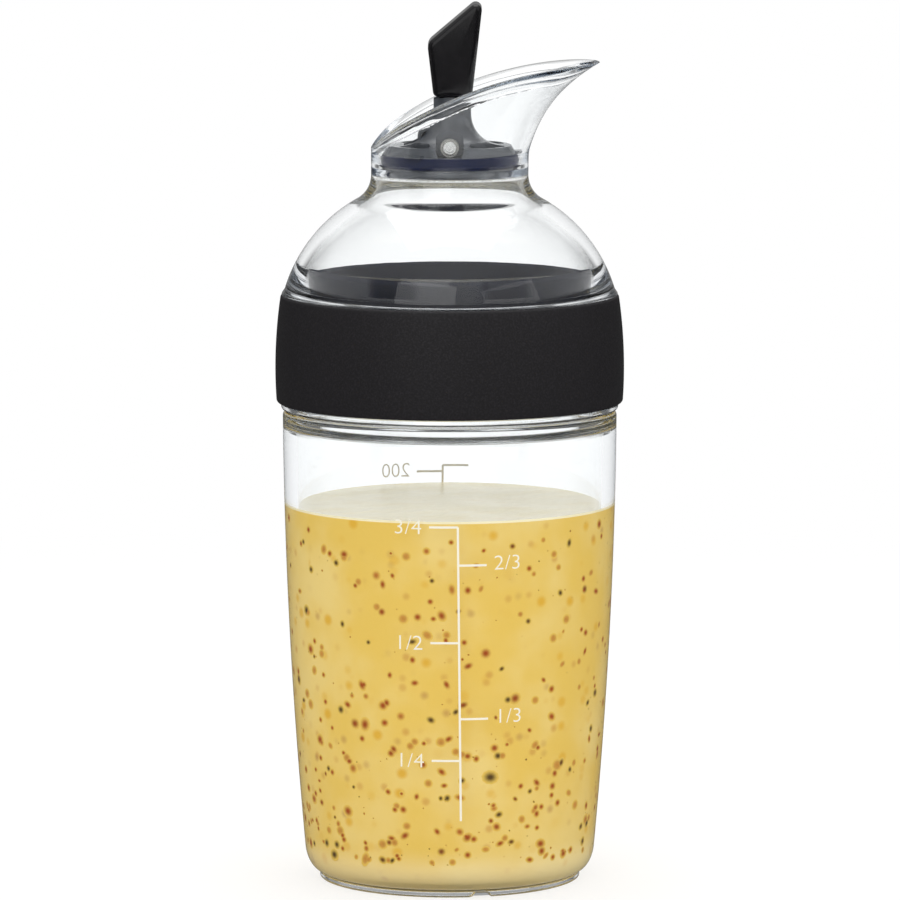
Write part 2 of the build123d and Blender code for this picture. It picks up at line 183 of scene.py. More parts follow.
class LidSizes(bpy.types.PropertyGroup):
    """Sizes of the clear dome, its skirt and the gasket's seat."""

    skirt_radius: length("Skirt radius", "Outside of the skirt", 32.27)
    skirt_inner: length("Skirt inner radius", "Inside of the skirt, at the root of its thread", 29.8)
    lip_radius: length("Lip radius", "Outside of the lip below the band", 32.9)
    lip_height: length("Lip height", "Skirt's end up to the band", 1.4)
    arc_radius: length("Arc radius", "Outside of the dome, seen from the side", 30.3)
    arc_offset: length("Arc offset", "Axis out to the middle of that arc", 3.2)
    arc_drop: length("Arc drop", "Top of the band down to the middle of that arc", 7.8)
    wall: length("Wall", "Thickness of the dome", 2.3)
    flare: length("Flare", "Outer round where the dome turns up into the neck", 5.5)
    throat_flare: length("Throat flare", "Inner round where the dome turns up into the neck", 8.3)
    throat_radius: length("Throat radius", "Inside, at the joint with the spout", 14.6)
    seat_radius: length("Seat radius", "Inside of the seat round the gasket", 28.05)
    seat_high: length("Seat top", "Foot to the top of that seat", 119.9)
    seat_low: length("Seat end", "Foot to the low end of that seat", 114.0)
    bead: length("Bead", "Clear bead that stops the band at its top", 0.3)
    band_gap: length("Band gap", "Band to that bead", 0.08)
    edge_round: length("Edge round", "Small corners of the lid", 0.3)
    joint_gap: length("Joint gap", "Hair line between dome and spout", 0.02)
    joint_round: length("Joint round", "Edges of that hair line", 0.04)


class SpoutSizes(bpy.types.PropertyGroup):
    """Sizes of the clear pouring spout."""

    radius: length("Radius", "Outside of its round neck", 15.3)
    wall: length("Wall", "Thickness above the ledge", 1.1)
    bore_radius: length("Bore radius", "Bore that the plug closes", 13.9)
    bore_end: length("Bore end", "Joint up to the low end of the bore", 1.4)
    ledge_height: length("Ledge height", "Joint up to the ledge of the housing", 3.95)
    ledge_slope: length("Ledge slope", "Height in which the bore widens to the wall", 1.7)
    straight: length("Straight height", "Joint up to where the spout widens", 4.6)
    tip_height: length("Tip height", "Joint up to the tip", 21.8)
    tip_reach: length("Tip reach", "How far the tip stands out from the neck", 13.9)
    side_flare: length("Side flare", "How much wider the spout gets, each side", 0.4)
    rear_height: length("Rear rim height", "Joint up to the rim behind", 5.3)
    bend_height: length("Bend height", "Joint up to where the rim turns down", 10.4)
    bend_offset: length("Bend offset", "Axis back to that place", 9.7)
    middle_height: length("Middle height", "Joint up to the rim half way to the tip", 19.0)
    middle_offset: length("Middle offset", "Axis out to that place", 9.8)
    past_tip: length("Past the tip", "How far the rim's arc runs on", 2.0)
    straight_share: fraction("Straight share", "Share of the reach that grows evenly", 0.45)
    fullness: fraction("Fullness", "How much fuller than an ellipse the tip is", 0.45)
    bead: length("Bead", "How far the thick rim stands into the spout", 0.5)
    thinning: fraction("Thinning", "Share of the wall and rim that is gone at the tip", 0.7)
    bead_height: length("Bead height", "Half the height of the thick rim", 0.9)
    bevel: length("Bevel", "How much lower the rim's inner edge is", 1.3)
    lip_share: fraction("Lip share", "Height of the rounded rim, as a share of its width", 0.12)
    ledge_round: length("Ledge round", "Corners of the ledge", 0.6)
    bore_round: length("Bore round", "Low edge of the bore", 0.5)


class BandSizes(bpy.types.PropertyGroup):
    """Sizes of the soft grip band and of the seals."""

    bottom_radius: length("Bottom radius", "Outside, at the bottom", 33.8)
    middle_radius: length("Middle radius", "Outside, half way up", 33.95)
    top_radius: length("Top radius", "Outside, at the top", 32.95)
    edge_round: length("Edge round", "Top and bottom edges", 0.6)
    gasket_round: length("Gasket round", "Corners of the gasket", 0.6)
    gasket_gap: length("Gasket gap", "Gasket to its seat", 0.08)
    gasket_reach: length("Gasket reach", "How far the gasket stands in over the mouth", 0.4)
    sleeve_gap: length("Sleeve gap", "Skirt to the inside of the band", 0.02)
    gasket_top: length("Gasket top", "Foot to the top of the gasket", 119.0)
    seal_round: length("Seal round", "Corners of the plug's seal", 0.15)
    seal_rise: length("Seal rise", "Lip that closes the gap to the housing", 0.3)
    seal_taper: length("Seal taper", "How much narrower the seal's top edge is", 0.65)


class LeverSizes(bpy.types.PropertyGroup):
    """Sizes of the lever's paddle, from the middle of its pin."""

    front_top: length("Front top", "Out to the front, at the top", 6.55)
    front_foot: length("Front foot", "Out to the front, at the foot", 4.25)
    back_top: length("Back top", "Back to the low end of the slanted top", 4.35)
    back_foot: length("Back foot", "Back, at the foot", 3.1)
    high: length("High end", "Up to the slanted top's high end, before its round", 29.4)
    low: length("Low end", "Up to the slanted top's low end, before its round", 20.2)
    foot_radius: length("Foot radius", "Hollow foot, round the pin", 9.95)
    depth: length("Depth", "Across the paddle, along the pin", 11.5)
    edge_round: length("Edge round", "Long edges of the paddle", 1.15)
    tip_round: length("Tip round", "High end of the slanted top", 1.18)
    corner_round: length("Corner round", "Low end of the slanted top", 2.2)
    foot_round: length("Foot round", "Corners of the foot", 1.2)
    arm_half: length("Arm half", "Half the thickness of the arm in the housing, and a little more", 1.25)


class MarkSizes(bpy.types.PropertyGroup):
    """Sizes of the printed measuring marks."""

    line_width: length("Line width", "Width of the printed lines", 0.42)
    ink: length("Ink", "How far the print stands off the wall", 0.05)
    tick: length("Tick", "Length of a tick", 5.5)
    digit_height: length("Digit height", "Height of the numbers", 2.75)
    digit_width: number("Digit width", "How much wider than the plain face the numbers are", 1.1)
    digit_gap: length("Digit gap", "Tick to its number", 1.35)
    right_rise: length("Right rise", "How far the numbers at the right stand above their ticks", 0.42)
    line_top: length("Line top", "Across from the middle to the line, at its top", 1.55)
    line_bottom: length("Line bottom", "Across from the middle to the line, at its foot", 2.15)
    line_low: length("Line foot", "Foot to the low end of the line", 15.7)


class ShakerColours(bpy.types.PropertyGroup):
    """Colours of the shaker's finishes."""

    clear: colour("Clear plastic", "Tint of the clear copolyester", "#FCFDFD")
    edge: colour("Clear edge", "Shade of light that has run along inside the clear plastic", "#A9B6C4")
    dressing: colour("Dressing", "Mustard dressing against the wall", "#EBC55C")
    dressing_pale: colour("Pale dressing", "Oilier patches", "#F0D27E")
    foam: colour("Foam", "Creamy surface of the dressing", "#FFF3C8")
    pepper: colour("Pepper", "Soft yellow patches under the surface", "#E3AE33")
    seed: colour("Seed", "Brown mustard seed", "#A64A14")
    seed_pale: colour("Pale seed", "Yellow mustard seed and hulls", "#CB8C3C")
    seed_dark: colour("Dark seed", "Black seed and herb flecks", "#57401A")
    haze: colour("Deep seed", "Brownish seeds that lie deep in the dressing", "#AE7242")
    ink: colour("Ink", "White print", "#ECE8DB")
    band: colour("Grip band", "Soft-touch elastomer", "#19171A")
    nylon: colour("Lever", "Black nylon", "#0E0D0F")
    housing: colour("Housing", "Dark satin plastic of the valve", "#3E4146")
    navy: colour("Seal", "Navy silicone of the plug", "#0A1332")
    gasket: colour("Gasket", "Blue-black silicone of the lid", "#0A0E1C")
    steel: colour("Pin", "Stainless steel", "#DAD9D7")
    # Duller steel for random patches, and the colour of the painted shade on the rim of the pins' ends
    steel_dull_and_shaded: colour("Pin rim", "Duller steel of the rim and the hollows", "#77756F")
    floor: colour("Floor", "Pale floor", "#F6F6F6")


class StageSizes(bpy.types.PropertyGroup):
    """The camera, the floor and the white surroundings."""

    camera_distance: length("Camera distance", "Level distance from the axis", 1400)
    camera_height: length("Camera height", "Height of the camera", 257.64)
    camera_dip: degrees("Camera dip", "How far it looks down", 7.065)
    lens: number("Lens", "Focal length, in millimetres", 288.66)
    shift: number("Shift", "Sideways shift of the picture", 0.00033)
    floor_side: length("Floor side", "Half the width of the floor", 700)
    floor_front: length("Floor front", "How far the floor comes forward", 1000)
    floor_back: length("Floor back", "How far the floor runs back", 3400)
    floor_near: length("Floor near", "Distance at which the floor starts to whiten", 120)
    floor_far: length("Floor far", "Distance at which the floor is all white", 500)
    floor_cloud: length("Floor cloud", "Size of the floor's faint tints", 400)
    floor_glow: fraction("Floor glow", "Share of the near floor that shows plain white", 0.62)
    # Painted shadow: how dim the near floor shows through clear plastic
    floor_dim: fraction("Floor dim", "Level of the near floor through clear plastic", 0.3)
    bounces: tally("Bounces", "Most turns that a ray of light takes", 40)
    sky: number("Sky", "Level of the soft light from above", 1.0)
    horizon: number("Horizon", "Level of the soft light from the sides", 0.38)
    ceiling: number("Ceiling", "Level that gloss shows overhead, over that of the room", 0.6)
    room: number("Room", "Level that gloss shows at the sides", 0.3)
    room_corner: fraction("Room corners", "Level that gloss shows in the corners, as a share of that", 0.25)
    back_light: number("Back light", "Level of the white that shows through clear plastic", 1.2)
    gloss_level: number("Gloss level", "Level of the floor that gloss shows", 0.12)
    ceiling_seen: number("Ceiling seen", "Level that clear plastic shows overhead", 0.45)
    corner: number("Corners", "Level that clear plastic shows in the corners", 0.15)


# Shapes


def conic(start, corner, end, weight, share):
    """Points of a rational quadratic: the mean of start, corner and end with weights (1-s)^2, 2ws(1-s) and
    s^2. It is an arc of a circle where w is the sine of half the corner's angle."""
    first, middle, last = (1 - share) ** 2, 2 * weight * share * (1 - share), share ** 2
    return (first * start + middle * corner + last * end) / (first + middle + last)


def rounded(corners, steps=6, closed=True):
    """An outline through corners (radius, height, round). Each corner with a round is cut by the circle of
    that radius which touches both its sides."""
    places = np.array([c[:2] for c in corners], float)
    rounds = [c[2] if len(c) > 2 else 0.0 for c in corners]
    share = np.linspace(0, 1, steps + 1)[:, None]
    parts = []
    for i, (place, radius) in enumerate(zip(places, rounds)):
        at_end = not closed and i in (0, len(places) - 1)
        if radius == 0 or at_end:
            parts.append(place[None])
            continue
        back = places[i - 1] - place
        on = places[(i + 1) % len(places)] - place
        back, on = back / np.linalg.norm(back), on / np.linalg.norm(on)
        half = math.acos(np.clip(back @ on, -1, 1)) / 2
        reach = radius / math.tan(half)
        parts.append(conic(place + back * reach, place, place + on * reach, math.sin(half), share))
    return np.concatenate(parts)


def ring_points(outline, columns, radial=0.0, lift=0.0):
    """A grid of an outline carried round the axis by the angle a: x = (r + radial) cos a,
    y = (r + radial) sin a and z = h + lift."""
    angle = np.arange(columns) * FULL_TURN / columns
    radius = outline[:, :1] + radial + 0 * angle
    height = outline[:, 1:] + lift + 0 * angle
    return np.stack([radius * np.cos(angle), radius * np.sin(angle), height], -1)


def grid_faces(rows, columns, closed):
    """Four-sided faces between neighbours of a grid. Its columns run round, and so do its rows if closed."""
    row = np.arange(rows if closed else rows - 1)[:, None]
    column = np.arange(columns)[None]
    row_on, column_on = (row + 1) % rows, (column + 1) % columns
    corners = (row * columns + column, row * columns + column_on,
               row_on * columns + column_on, row_on * columns + column)
    return np.stack(np.broadcast_arrays(*corners), -1).reshape(-1, 4)


def new_object(name, data):
    """An object in the scene for a mesh, a lamp, a camera or a text."""
    made = bpy.data.objects.new(name, data)
    bpy.context.scene.collection.objects.link(made)
    return made


def new_piece(name, points, quads, triangles=None, crease=35):
    """A mesh object from points and faces, smooth but for creases over an angle in degrees. Its faces are
    turned outwards: the sum over triangles of a . (b x c) is six times the volume, so a negative sum turns
    them all."""
    split = [quads[:, (0, 1, 2)], quads[:, (0, 2, 3)]] + ([] if triangles is None else [triangles])
    a, b, c = (points[np.concatenate(split)[:, i]] for i in range(3))
    if np.einsum("ij,ij->", a, np.cross(b, c)) < 0:
        quads = quads[:, ::-1]
        triangles = None if triangles is None else triangles[:, ::-1]
    faces = quads.tolist() + ([] if triangles is None else triangles.tolist())
    mesh = bpy.data.meshes.new(name)
    mesh.from_pydata(points.tolist(), [], faces)
    mesh.shade_smooth()
    mesh.set_sharp_from_angle(angle=math.radians(crease))
    return new_object(name, mesh)


def grid_piece(name, points, closed=True, crease=35):
    """A closed piece from a grid of points. Where the rows don't close, a fan closes each end."""
    rows, columns = points.shape[:2]
    quads = grid_faces(rows, columns, closed)
    flat = points.reshape(-1, 3)
    if closed:
        return new_piece(name, flat, quads, crease=crease)
    column = np.arange(columns)
    column_on = (column + 1) % columns
    last_row = (rows - 1) * columns
    first_fan = np.stack([column_on, column, np.full(columns, len(flat))], -1)
    last_fan = np.stack([last_row + column, last_row + column_on, np.full(columns, len(flat) + 1)], -1)
    middles = np.stack([points[0].mean(0), points[-1].mean(0)])
    fans = np.concatenate([first_fan, last_fan])
    return new_piece(name, np.concatenate([flat, middles]), quads, fans, crease)


def body_radius(height, inset=0.0):
    """Radius of the container's side: an even taper and a shallow parabola, highest half way up, less an
    inset."""
    sizes = bpy.context.scene.shaker_container
    share = (height - sizes.foot_height) / (sizes.shoulder_height - sizes.foot_height)
    even = sizes.base_radius + (sizes.top_radius - sizes.base_radius) * share
    return even + 4 * sizes.bow * share * (1 - share) - inset


def body_side(low, high, inset=0.0, steps=28):
    """Places (radius, height) up the container's side."""
    heights = np.linspace(low, high, steps)
    return [(body_radius(h, inset), h) for h in heights]


def thread_ridges(outline, columns, rows, phase=0.0):
    """How far the quick thread stands out at each point of a ringed outline. A point's distance from the
    nearest ridge is its height less lead times its turn, folded into the spacing of the ridges. The ridge is
    a smooth bump in that distance, cut flat at its crest and faded out at both ends of the thread."""
    sizes = bpy.context.scene.shaker_thread
    fullness = 1.4
    height = outline[:, 1:]
    turn = np.arange(columns) / columns
    spacing = sizes.lead / sizes.starts
    steps = (height - sizes.low - sizes.lead * turn) / spacing - phase
    distance = np.abs(steps - np.round(steps)) * spacing
    bump = np.clip(1 - distance / (sizes.width / 2), 0, 1)
    bump = bump * bump * (3 - 2 * bump)
    fade = np.clip(np.minimum(height - sizes.low, sizes.high - height) / sizes.width, 0, 1)
    return sizes.height * np.minimum(1, bump * fullness) * fade * rows[:, None]


def threaded_side(radius):
    """Places (radius, height) up a straight side, close enough together to carry the thread's ridges."""
    sizes = bpy.context.scene.shaker_thread
    return [(radius, h) for h in np.linspace(sizes.low, sizes.high, 48)]


# Finishes


def add(tree, kind, inputs=(), **settings):
    """Adds a node with its settings and returns its outputs. Its inputs, in order or by name or number, get
    a value or the output that they read."""
    made = tree.nodes.new("ShaderNode" + kind)
    for name, value in settings.items():
        setattr(made, name, value)
    for socket, value in inputs.items() if isinstance(inputs, dict) else enumerate(inputs):
        if isinstance(value, bpy.types.NodeSocket):
            tree.links.new(value, made.inputs[socket])
        else:
            made.inputs[socket].default_value = value
    return made.outputs


def new_finish(name):
    """An empty material, its node tree, and the place on the object, which its patterns read."""
    material = bpy.data.materials.new(name)
    material.use_nodes = True
    tree = material.node_tree
    tree.nodes.clear()
    return material, tree, add(tree, "TexCoord")["Object"]


def brighter(tone, times):
    """A colour made a number of times as bright."""
    return (*(times * channel for channel in tone[:3]), 1.0)


def patches(tree, place, size, low, high, first, last, detail=2.0, roughness=0.5):
    """Soft patches about a size across: a noise whose range from low to high is carried to first and
    last."""
    inputs = {"Vector": place, "Scale": 1 / size, "Detail": detail, "Roughness": roughness}
    cloud = add(tree, "TexNoise", inputs)[0]
    return add(tree, "MapRange", (cloud, low, high, first, last), **SMOOTH)[0]


def soft_spots(tree, place, spacing, low, high):
    """How much a soft round spot covers each place, and a random colour for each spot. The spots sit round
    the points of a cell pattern with that spacing, so those that lie deeper show smaller and fainter."""
    cells = add(tree, "TexVoronoi", {"Vector": place, "Scale": 1 / spacing})
    return add(tree, "MapRange", (cells["Distance"], low, high, 1.0, 0.0), **SMOOTH)[0], cells["Color"]


def clear_copolyester(name, colours):
    """Clear copolyester, injection moulded against polished steel: almost colourless, with a faint ripple,
    as of orange peel, that wavers in the reflections. Light that has run a long way inside it comes out
    dimmer and bluer, so its edges show slate. Rays of lamps and of soft light pass straight through it."""
    ripple_size, ripple_depth, haze_size = 9 * MM, 1 * MM, 14 * MM
    material, tree, place = new_finish(name)
    ripple = add(tree, "TexNoise", {"Vector": place, "Scale": 1 / ripple_size})[0]
    bump = add(tree, "Bump", {"Height": ripple, "Strength": 0.012, "Distance": ripple_depth})[0]
    haze = patches(tree, place, haze_size, 0.35, 0.7, 0.0, 0.004)
    glass = add(tree, "BsdfPrincipled", {"Base Color": colours.clear, "Transmission Weight": 1.0,
                                         "IOR": 1.51, "Roughness": haze, "Normal": bump})[0]
    path = add(tree, "LightPath")
    straight = add(tree, "Math", (path["Is Shadow Ray"], path["Is Diffuse Ray"]), operation="MAXIMUM")[0]
    clear = add(tree, "MixShader", (straight, glass, add(tree, "BsdfTransparent")[0]))[0]
    inside = add(tree, "VolumeAbsorption", {"Color": colours.edge, "Density": clear_density[name]})[0]
    add(tree, "OutputMaterial", {"Surface": clear, "Volume": inside})
    return material


def mustard_dressing(colours, surface_height):
    """Oil, mustard and ground seed shaken to a cloudy cream: soft drifts of paler oil, faint brown and
    yellow spots of what lies under the surface, painted light from below that makes it paler towards the
    bottom, and a pale, wetter, foamy top."""
    drift_size, bubble_size, curd_size, curd_depth = 16 * MM, 5 * MM, 2 * MM, 0.4 * MM
    # Heights over which the painted light from below fades out
    underlight_low, underlight_high = 3 * MM, 10 * MM
    foam_low, foam_high = surface_height - 0.34 * MM, surface_height - 0.22 * MM
    material, tree, place = new_finish("mustard_dressing")
    drift = patches(tree, place, drift_size, 0.35, 0.7, 0.0, 1.0, 3.0)
    shade = add(tree, "Mix", {0: drift, 6: colours.dressing, 7: colours.dressing_pale}, **COLOURS)[2]
    for spacing, low, high, tone, most in (
        (4.4 * MM, 0.10, 0.34, colours.pepper, 0.9),
        (3.9 * MM, 0.06, 0.30, colours.seed_pale, 0.55),
        (4.7 * MM, 0.02, 0.26, colours.haze, 0.5),
    ):
        cover, chance = soft_spots(tree, place, spacing, low, high)
        pick = add(tree, "SeparateColor", (chance,))[0]
        depth = add(tree, "MapRange", (pick, 0.35, 0.9, 0.0, most), **SMOOTH)[0]
        kept = add(tree, "Math", (cover, depth), operation="MULTIPLY")[0]
        shade = add(tree, "Mix", {0: kept, 6: shade, 7: tone}, **COLOURS)[2]
    height = add(tree, "SeparateXYZ", (place,))["Z"]
    # Painted light: the colour turns paler towards the bottom, as if lit from below through the clear foot
    painted_underlight = add(tree, "MapRange", (height, underlight_low, underlight_high, 0.5, 0.0), **SMOOTH)[0]
    shade = add(tree, "Mix", {0: painted_underlight, 6: shade, 7: colours.foam}, **COLOURS)[2]
    foamy = add(tree, "MapRange", (height, foam_low, foam_high, 0.0, 1.0), **SMOOTH)[0]
    bubbles = patches(tree, place, bubble_size, 0.5, 0.68, 0.0, 0.18, 3.0, 0.6)
    foam = add(tree, "Mix", {0: bubbles, 6: colours.foam, 7: colours.dressing_pale}, **COLOURS)[2]
    shade = add(tree, "Mix", {0: foamy, 6: shade, 7: foam}, **COLOURS)[2]
    curds = add(tree, "TexNoise", {"Vector": place, "Scale": 1 / curd_size, "Detail": 4.0})[0]
    bump = add(tree, "Bump", {"Height": curds, "Strength": 0.25, "Distance": curd_depth})[0]
    wet = add(tree, "MapRange", (foamy, 0.0, 1.0, 0.2, 0.8), **SMOOTH)[0]
    rough = add(tree, "MapRange", (foamy, 0.0, 1.0, 0.45, 0.26), **SMOOTH)[0]
    cream = add(tree, "BsdfPrincipled", {"Base Color": shade, "Roughness": rough, "Specular IOR Level": wet,
                                         "Normal": bump})[0]
    add(tree, "OutputMaterial", {"Surface": cream})
    return material


def seed_hulls(colours):
    """Mustard seed, hulls and herb flecks soaked in the dressing: whole seeds are brown all over, empty
    hulls are pale inside a brown ring, and every edge fades into the cloudy dressing round it."""
    mottle_size = 0.5 * MM
    material, tree, place = new_finish("seed_hulls")
    tone = add(tree, "Attribute", attribute_name="tone")["Fac"]
    rim = add(tree, "Attribute", attribute_name="rim")["Fac"]
    ringed = add(tree, "MapRange", (rim, 0.25, 0.6, 0.0, 0.6), **SMOOTH)[0]
    whole = add(tree, "MapRange", (tone, 0.2, 0.4, 0.0, 1.0), **SMOOTH)[0]
    brown = add(tree, "Math", (ringed, whole), operation="MAXIMUM")[0]
    black = add(tree, "MapRange", (tone, 0.78, 0.9, 0.0, 1.0), **SMOOTH)[0]
    mottled = patches(tree, place, mottle_size, 0.35, 0.65, 0.0, 0.15)
    soaked = add(tree, "MapRange", (rim, 0.1, 0.98, 0.0, 1.0), **SMOOTH)[0]
    shade = add(tree, "Mix", {0: brown, 6: colours.seed_pale, 7: colours.seed}, **COLOURS)[2]
    dark = colours.seed_dark
    for share, over in ((black, dark), (mottled, dark), (soaked, colours.dressing)):
        shade = add(tree, "Mix", {0: share, 6: shade, 7: over}, **COLOURS)[2]
    hull = add(tree, "BsdfPrincipled", {"Base Color": shade, "Roughness": 0.5,
                                        "Specular IOR Level": 0.15})[0]
    add(tree, "OutputMaterial", {"Surface": hull})
    return material


def screen_ink(colours):
    """White screen-printing ink, cured on the wall: an opaque film with a slightly uneven cover."""
    patch_size = 1.2 * MM
    material, tree, place = new_finish("screen_ink")
    uneven = patches(tree, place, patch_size, 0.3, 0.7, 0.0, 0.25)
    shade = add(tree, "Mix", {0: uneven, 6: colours.ink, 7: colours.foam}, **COLOURS)[2]
    film = add(tree, "BsdfPrincipled", {"Base Color": shade, "Roughness": 0.45})[0]
    add(tree, "OutputMaterial", {"Surface": film})
    return material


def soft_touch_elastomer(colours):
    """Thermoplastic elastomer moulded in a spark-eroded tool: matte, with a fine pebbled grain that scatters
    a broad dull sheen. The grain is drawn at 0.35 mm, coarser than the real one, so that it shows."""
    grain_size, grain_depth = 0.35 * MM, 0.05 * MM
    material, tree, place = new_finish("soft_touch_elastomer")
    grain = add(tree, "TexNoise", {"Vector": place, "Scale": 1 / grain_size, "Detail": 3.0,
                                   "Roughness": 0.6})[0]
    dust = add(tree, "MapRange", (grain, 0.4, 0.75, 0.0, 1.0), **SMOOTH)[0]
    shade = add(tree, "Mix", {0: dust, 6: colours.band, 7: brighter(colours.band, 1.8)}, **COLOURS)[2]
    bump = add(tree, "Bump", {"Height": grain, "Strength": 0.4, "Distance": grain_depth})[0]
    rough = add(tree, "MapRange", (grain, 0.3, 0.7, 0.62, 0.5), **SMOOTH)[0]
    soft = add(tree, "BsdfPrincipled", {"Base Color": shade, "Roughness": rough, "Specular IOR Level": 0.32,
                                        "Normal": bump})[0]
    add(tree, "OutputMaterial", {"Surface": soft})
    return material


def moulded_plastic(name, tone, low_roughness, high_roughness, gloss):
    """Filled nylon or copolymer moulded in a polished tool: dark and glossy, with a faint flow ripple and a
    roughness that drifts where it has been handled."""
    flow_size, flow_depth, touch_size = 2.5 * MM, 0.3 * MM, 6 * MM
    material, tree, place = new_finish(name)
    flow = add(tree, "TexNoise", {"Vector": place, "Scale": 1 / flow_size, "Detail": 3.0})[0]
    bump = add(tree, "Bump", {"Height": flow, "Strength": 0.03, "Distance": flow_depth})[0]
    rough = patches(tree, place, touch_size, 0.35, 0.65, low_roughness, high_roughness)
    dust = add(tree, "MapRange", (flow, 0.3, 0.7, 0.0, 0.35), **SMOOTH)[0]
    shade = add(tree, "Mix", {0: dust, 6: tone, 7: brighter(tone, 2.2)}, **COLOURS)[2]
    glossy = add(tree, "BsdfPrincipled", {"Base Color": shade, "Roughness": rough, "IOR": 1.53,
                                          "Specular IOR Level": gloss, "Normal": bump})[0]
    add(tree, "OutputMaterial", {"Surface": glossy})
    return material


def moulded_silicone(name, tone, gloss):
    """Liquid silicone rubber, moulded: smooth and slightly greasy, with a cloudy bloom."""
    cloud_size = 4 * MM
    material, tree, place = new_finish(name)
    cloud = add(tree, "TexNoise", {"Vector": place, "Scale": 1 / cloud_size, "Detail": 3.0})[0]
    bloom = add(tree, "MapRange", (cloud, 0.35, 0.7, 0.0, 0.4), **SMOOTH)[0]
    shade = add(tree, "Mix", {0: bloom, 6: tone, 7: brighter(tone, 1.8)}, **COLOURS)[2]
    rough = add(tree, "MapRange", (cloud, 0.3, 0.7, 0.32, 0.45), **SMOOTH)[0]
    greasy = add(tree, "BsdfPrincipled", {"Base Color": shade, "Roughness": rough, "IOR": 1.41,
                                          "Specular IOR Level": gloss})[0]
    add(tree, "OutputMaterial", {"Surface": greasy})
    return material


def turned_steel(colours, axis_height):
    """Stainless steel, cropped and turned: fine rings round the axis on the pin's ends, rougher at their
    crests, duller patches at random, and painted shade on the rim round each end's face. The rings are drawn
    about 0.5 mm apart, coarser than real tool marks, so that they show."""
    ring_spacing, ring_depth, patch_size = 0.4935 * MM, 0.05 * MM, 0.8 * MM
    # Radii between which the painted shade on the rim comes in
    face_radius, rim_radius = 1.12 * MM, 1.3 * MM
    material, tree, place = new_finish("turned_steel")
    centred = add(tree, "Mapping", {"Vector": place, "Location": (0, 0, -axis_height)})[0]
    # The wave's angle is 20 times the scaled distance from the axis
    rings = add(tree, "TexWave", {"Vector": centred, "Scale": FULL_TURN / (20 * ring_spacing),
                                  "Distortion": 0.6, "Detail": 1.0},
                wave_type="RINGS", rings_direction="Y")["Fac"]
    bump = add(tree, "Bump", {"Height": rings, "Strength": 0.12, "Distance": ring_depth})[0]
    rough = add(tree, "MapRange", (rings, 0.0, 1.0, 0.2, 0.34), **SMOOTH)[0]
    dull = patches(tree, place, patch_size, 0.3, 0.7, 0.0, 0.2)
    shade = add(tree, "Mix", {0: dull, 6: colours.steel, 7: colours.steel_dull_and_shaded}, **COLOURS)[2]
    across = add(tree, "VectorMath", (centred, (1, 0, 1)), operation="MULTIPLY")[0]
    radius = add(tree, "VectorMath", (across,), operation="LENGTH")["Value"]
    # Painted shade: the rim round each end's face is darkened towards the duller colour
    painted_rim_shade = add(tree, "MapRange", (radius, face_radius, rim_radius, 0.0, 0.8), **SMOOTH)[0]
    shade = add(tree, "Mix", {0: painted_rim_shade, 6: shade, 7: colours.steel_dull_and_shaded}, **COLOURS)[2]
    steel = add(tree, "BsdfPrincipled", {"Base Color": shade, "Metallic": 1.0, "Roughness": rough,
                                         "Normal": bump})[0]
    add(tree, "OutputMaterial", {"Surface": steel})
    return material


def dress(piece, material, body, stands_for=()):
    """Gives a new piece its finish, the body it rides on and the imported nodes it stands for."""
    piece.data.materials.append(material)
    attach(piece, body)
    if stands_for:
        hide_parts(*stands_for)


def refinish(node, material):
    """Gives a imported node, which keeps its shape, a better finish."""
    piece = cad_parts[node]
    piece.data.materials.clear()
    piece.data.materials.append(material)


# Pieces


